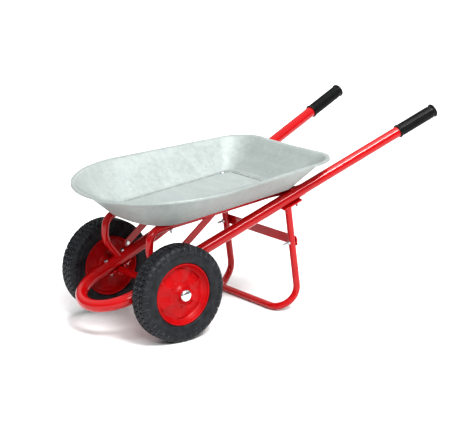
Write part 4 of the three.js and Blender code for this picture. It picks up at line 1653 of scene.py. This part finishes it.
@dataclass
class Wheel:
    """Solid rubber tyre on a moulded centre, with the cap over the axle's end."""

    workshop: Workshop
    side: Side
    x: float = 214.6
    height: float = 160.0
    rim: float = 102.8
    lugs: int = 40
    blocks: int = 54
    lug_share: float = 0.89
    block_share: float = 0.74
    block_half: float = 5.6
    block_skew: float = 0.0036
    sectors: int = 12
    relief: float = 3.6
    web_low: float = 40.0
    web_high: float = 86.0
    steps: int = 288
    rows: tuple[tuple[float, float, float, int], ...] = (
        (-19.8, 159.3, 0.0, 1), (-6.6, 159.7, 0.5, -1), (6.6, 159.7, 0.0, 1), (19.8, 159.3, 0.5, -1))
    pockets: tuple[tuple[float, ...], ...] = ((0.72, 0.27, 64.0, 84.5, 7.0), (-0.80, 0.20, 42.0, 55.0, 5.0))

    @property
    def body(self) -> Body:
        """The wheel's own body."""
        return Body(f"wheel_{self.side.word}")

    @property
    def place(self) -> Matrix:
        """Matrix whose X runs outwards along the axle from the wheel's middle."""
        flip = Matrix.Diagonal((self.side.value, 1.0, 1.0, 1.0))
        return Matrix.Translation((self.side.value * self.x, 0.0, self.height)) @ flip

    def carcass(self) -> Mesh:
        """Tyre under the tread, with bead, sidewall and a groove under the lugs.

        Returns:
            The closed mesh.
        """
        half = [(-27.7, 103.1), (-33.2, 105.2), (-35.6, 109.5), (-36.9, 117.0), (-37.3, 124.0),
                (-37.1, 130.0), (-36.2, 133.4), (-34.2, 135.2), (-33.9, 137.0), (-34.9, 138.6),
                (-34.6, 142.0), (-33.2, 147.5), (-29.6, 152.2), (-22.0, 154.3), (-10.0, 154.9), (0.0, 155.0)]
        fine = smoothed(half, 3)
        outline = fine + [(-x, r) for x, r in reversed(fine[:-1])]
        mesh = turned(outline, 180, self.place)
        return painted(mesh, [0.0] * len(mesh.vertices))

    def block(self, top: Sequence[Pair], depth: float, arc_half: float, skew: float) -> Mesh:
        """One tread block round the local X axis, in metres.

        Args:
            top: (x, radius) across the block's top.
            depth: how deep its foot goes.
            arc_half: half its angle in radians.
            skew: angle gained from one side to the other.

        Returns:
            The closed block with worn upper edges.
        """
        first, last = top[0], top[-1]
        inset = 0.92
        rings, weights = [], []
        for share, drop in ((-1.0, 0.7), (-inset, 0.0), (0.0, 0.0), (inset, 0.0), (1.0, 0.7)):
            ring = []
            run = [(first[0] * 0.96, first[1] - depth), *top, (last[0] * 0.96, last[1] - depth)]
            for k, (x, r) in enumerate(run):
                foot = k in (0, len(run) - 1)
                a = arc_half * share + skew * (x - (first[0] + last[0]) / 2)
                ring.append((x, (r if foot else r - drop), a, 0.0 if foot or abs(share) < 1.0 else 1.0))
            rings.append([Vector((x, r * math.cos(a), r * math.sin(a))) * MM for x, r, a, _ in ring])
            weights += [w for *_, w in ring]
        mesh = loft(rings, around=False)
        return painted(mesh, weights)

    def around(self, block: Mesh, count: int, phase: float) -> Mesh:
        """A full ring of one block, in place.

        Args:
            block: the block at the local origin.
            count: how many.
            phase: share of one pitch by which the ring is turned.

        Returns:
            The mesh of the ring.
        """
        turn = phase * FULL_TURN / count
        made = self.workshop.ring.placed(block, TYRE_RUBBER, count, turn, self.place)
        if self.side is Side.RIGHT:
            made.flip_normals()
        return made

    def tyre_mesh(self) -> Mesh:
        """Carcass with shoulder lugs and zigzag rows.

        Returns:
            The joined mesh.
        """
        parts = [self.carcass()]
        shoulder = [(-37.0, 138.6), (-37.3, 143.0), (-36.2, 149.0), (-33.2, 154.4), (-29.8, 157.6),
                    (-27.0, 158.8)]
        half = math.pi / self.lugs * self.lug_share
        for hand in (1, -1):
            run = [(-x * hand, r) for x, r in shoulder]
            parts.append(self.around(self.block(run, 7.0, half, 0.0), self.lugs, 0.25 + 0.25 * hand))
        wide, half = self.block_half, math.pi / self.blocks * self.block_share
        for x, edge, phase, hand in self.rows:
            run = [(x - wide, edge - 0.7), (x - wide + 1.2, edge), (x + wide - 1.2, edge),
                   (x + wide, edge - 0.7)]
            block = self.block(run, 6.0, half, hand * self.block_skew)
            parts.append(self.around(block, self.blocks, phase))
        return joined(*parts)

    def sector_relief(self, angle: float, radius: float) -> float:
        """Relief of the wheel centre's sectors, in millimetres.

        Args:
            angle: angle round the axle in radians.
            radius: distance from the axle.

        Returns:
            How far the face stands out.
        """
        turn = (angle / FULL_TURN * self.sectors) % 2.0
        across = min(turn % 1.0, 1.0 - turn % 1.0)
        fold = 2.0 * (turn if turn < 1.0 else 2.0 - turn) - 1.0
        ridge = 0.5 * math.exp(-(across * FULL_TURN * radius / self.sectors / 2.0) ** 2)
        ends = clamped((radius - self.web_low) / 7.0) * clamped((self.web_high - radius) / 5.0)
        return (fold * self.relief + ridge) * ends

    def pocket(self, angle: float, radius: float) -> float:
        """Depth of the two moulded pockets on the outer face, in millimetres.

        Args:
            angle: angle round the axle in radians.
            radius: distance from the axle.

        Returns:
            How far the face is sunk.
        """
        deep = 0.0
        for middle, half, low, high, depth in self.pockets:
            off = abs((angle - middle + math.pi) % FULL_TURN - math.pi)
            side = clamped((half - off) * radius / 2.0)
            span = clamped((radius - low) / 2.0) * clamped((high - radius) / 2.0)
            deep = max(deep, depth * side * span)
        return deep

    def centre_mesh(self) -> Mesh:
        """Moulded wheel centre: hub, dished web with sectors, rim with its lip.

        Returns:
            The closed mesh.
        """
        outer = [(40.0, 12.4, 0), (40.0, 18.6, 0), (39.4, 19.8, 0), (38.0, 20.6, 0), (35.0, 21.4, 0),
                 (28.0, 27.0, 0), (23.2, 34.0, 0), (21.6, 38.0, 0)]
        outer += [(21.4 - 9.4 * (r - 38.0) / 48.0, r, 1) for r in (38.5 + 1.0 * k for k in range(48))]
        outer += [(12.6, 86.9, 0), (14.6, 88.8, 0), (24.0, 95.4, 0), (27.0, 97.4, 0), (29.0, 98.0, 0),
                  (30.6, 98.4, 0), (31.5, 99.4, 0), (31.7, 100.8, 0), (31.4, 102.0, 0), (30.4, 102.6, 0)]
        inner = [(-30.4, 102.6, 0), (-31.5, 101.6, 0), (-31.7, 99.8, 0), (-31.0, 98.2, 0), (-28.0, 97.6, 0)]
        inner += [(-12.0, 95.4, 0), (-6.4, 93.4, 0), (-5.3, 91.0, 0)]
        inner += [(-5.3 - 1.7 * (90.0 - r) / 54.0, r, -1) for r in (90.0 - 2.0 * k for k in range(27))]
        inner += [(-9.0, 34.5, 0), (-20.0, 29.0, 0), (-34.0, 22.0, 0), (-39.0, 20.8, 0), (-41.6, 19.4, 0),
                  (-42.0, 18.0, 0), (-42.0, 12.4, 0)]
        rings = []
        for k in range(self.steps):
            a = FULL_TURN * k / self.steps
            ring = []
            for x, r, face in (*outer, *inner):
                lift = self.sector_relief(a, r) * face
                if face > 0:
                    lift -= self.pocket(a, r)
                ring.append(metres(self.place @ Vector((x + lift, r * math.cos(a), r * math.sin(a)))))
            rings.append(ring)
        return loft(rings)

    def cap_mesh(self) -> Mesh:
        """Domed cap with a rolled foot.

        Returns:
            The closed mesh.
        """
        foot = 43.2
        outer = [(foot, 18.5), (foot, 19.4), (foot + 0.5, 19.9), (foot + 1.4, 20.0), (foot + 2.4, 19.7)]
        angles = [k / 14 * QUARTER for k in range(14)]
        dome = [(foot + 2.8 + 8.1 * math.sin(a), 19.3 * math.cos(a)) for a in angles]
        inside = [(foot + 1.2 + 8.0 * math.sin(a), 17.8 * math.cos(a)) for a in angles]
        line = [*outer, *dome, (foot + 10.9, 0.0), (foot + 9.2, 0.0), *reversed(inside)]
        return turned(line, 64, self.place)

    def build(self) -> None:
        """Makes and dresses the wheel and its cap."""
        word = self.side.word
        piece(f"tread_tyre_{word}", self.tyre_mesh(), TYRE_RUBBER, self.body, [f"tyre_{word}"], 32.0)
        centre = self.centre_mesh()
        piece(f"wheel_centre_{word}", centre, RED_PLASTIC, self.body, [f"wheel_disc_{word}"], 50.0)
        piece(f"axle_cap_{word}", self.cap_mesh(), CHROME, Body.FRAME, [f"hub_cap_{word}"])


@dataclass
class PlainParts:
    """CAD parts that keep their shape and only get a finish."""

    nodes: dict[str, bpy.types.Object]

    def build(self) -> None:
        """Dresses the axle rod and the four bushes."""
        for name, node in self.nodes.items():
            finish = STEEL if name == "axle_rod" else BUSH_PLASTIC if name.startswith("bush_") else None
            if finish is None:
                continue
            for slot in node.material_slots:
                slot.material = finish.material()
            LOG.info("%s: kept, finish %s", name, finish.slot)


# ---------- studio ----------


@dataclass
class Studio:
    """Pale floor, soft light and the camera."""

    azimuth: float = math.radians(53.3919)
    elevation: float = math.radians(14.2881)
    roll: float = math.radians(-0.019)
    eye: Triple = (4.3802, -3.3145, 1.6883)
    lens: float = 129.42
    sensor: float = 36.0
    floor_reach: float = 45.0
    floor_drop: float = 0.0004
    aim: Triple = (0.0, 0.0, 0.3)
    dome_strength: float = 0.88
    dome_stops: tuple[tuple[float, Colour], ...] = (
        (0.0, (0.22, 0.22, 0.23)), (0.25, (0.26, 0.26, 0.27)), (0.60, (0.95, 0.95, 0.95)),
        (1.0, (1.0, 1.0, 1.0)))

    def camera(self) -> None:
        """Sets the camera."""
        a, e = self.azimuth, self.elevation
        back = Vector((math.sin(a) * math.cos(e), -math.cos(a) * math.cos(e), math.sin(e)))
        right = Vector((math.cos(a), math.sin(a), 0.0))
        up = back.cross(right)
        turned_right = right * math.cos(self.roll) + up * math.sin(self.roll)
        turned_up = up * math.cos(self.roll) - right * math.sin(self.roll)
        data = bpy.data.cameras.new("camera")
        data.sensor_fit = "HORIZONTAL"
        data.sensor_width = self.sensor
        data.lens = self.lens
        data.clip_end = 200.0
        made = linked("camera", data)
        made.matrix_world = framed(self.eye, turned_right, turned_up, back)
        bpy.context.scene.camera = made

    def floor(self) -> None:
        """Lays the floor."""
        reach, mesh = self.floor_reach, bpy.data.meshes.new("floor")
        corners = ((-1, -1), (1, -1), (1, 1), (-1, 1))
        mesh.from_pydata([(x * reach, y * reach, -self.floor_drop) for x, y in corners], [], [(0, 1, 2, 3)])
        mesh.materials.append(StudioFloor().material())
        linked("floor", mesh)

    def dome(self) -> None:
        """Lights the scene from a bright ceiling and dim walls."""
        world = bpy.data.worlds.new("dome")
        world.use_nodes = True
        world.node_tree.nodes.clear()
        graph = Graph(world.node_tree)
        ray = graph.node("ShaderNodeTexCoord").outputs["Generated"]
        height = graph.split(ray)[2]
        ramp = graph.node("ShaderNodeValToRGB", {"stops": self.dome_stops}, {0: height})
        inputs = {"Color": ramp.outputs[0], "Strength": self.dome_strength}
        light = graph.node("ShaderNodeBackground", None, inputs)
        graph.node("ShaderNodeOutputWorld", None, {"Surface": light.outputs[0]})
        bpy.context.scene.world = world

    def shine(self, light: bpy.types.Light, power: float, towards: Vector) -> bpy.types.Object:
        """Puts one light in the scene.

        Args:
            light: the light's data.
            power: its strength.
            towards: the direction that its light travels.

        Returns:
            The light's object.
        """
        light.energy = power
        made = linked(light.name, light)
        made.rotation_mode = "QUATERNION"
        made.rotation_quaternion = towards.to_track_quat("-Z", "Y")
        return made

    def lamp(self, name: str, spot: Triple, size: Pair, power: float) -> None:
        """Adds a soft rectangular lamp that looks at the barrow.

        Args:
            name: the lamp's name.
            spot: its place in metres.
            size: its width and height in metres.
            power: its power in watts.
        """
        light = bpy.data.lights.new(name, "AREA")
        light.shape = "RECTANGLE"
        light.size, light.size_y = size
        self.shine(light, power, Vector(self.aim) - Vector(spot)).location = spot

    def sun(self, name: str, power: float, spread: float, towards: Triple) -> None:
        """Adds one soft sun.

        Args:
            name: its name.
            power: its strength.
            spread: its angular size in degrees.
            towards: the direction that its light travels.
        """
        light = bpy.data.lights.new(name, "SUN")
        light.angle = math.radians(spread)
        self.shine(light, power, Vector(towards))

    def build(self) -> None:
        """Sets up the whole studio."""
        self.camera()
        self.floor()
        self.dome()
        self.sun("high_sun", 0.7, 30.0, (-0.10, 0.07, -0.99))
        self.sun("side_sun", 2.4, 19.0, (-0.60, 0.04, -0.80))
        self.lamp("front_box", (3.2, -2.2, 2.6), (1.2, 0.5), 45.0)
        self.lamp("rear_box", (-1.8, 2.6, 2.6), (1.6, 0.6), 20.0)
        view = bpy.context.scene.view_settings
        view.view_transform = "Standard"
        view.look = "Medium High Contrast"
        LOG.info("studio: camera, floor, dome, two suns and two lamps")


def main() -> None:
    """Builds the barrow piece by piece, then the studio."""
    logging.basicConfig(level=logging.INFO, format="%(message)s")
    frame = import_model()
    workshop = Workshop()
    assemblies = [
        Tray(), FrameTubes(workshop), TrayCarrier(workshop), LegFrame(workshop), Axle(),
        Fasteners(workshop), Wheel(workshop, Side.LEFT), Wheel(workshop, Side.RIGHT),
        PlainParts(frame["nodes"]), Studio(),
    ]
    for assembly in assemblies:
        assembly.build()


if __name__ == "__main__":
    main()
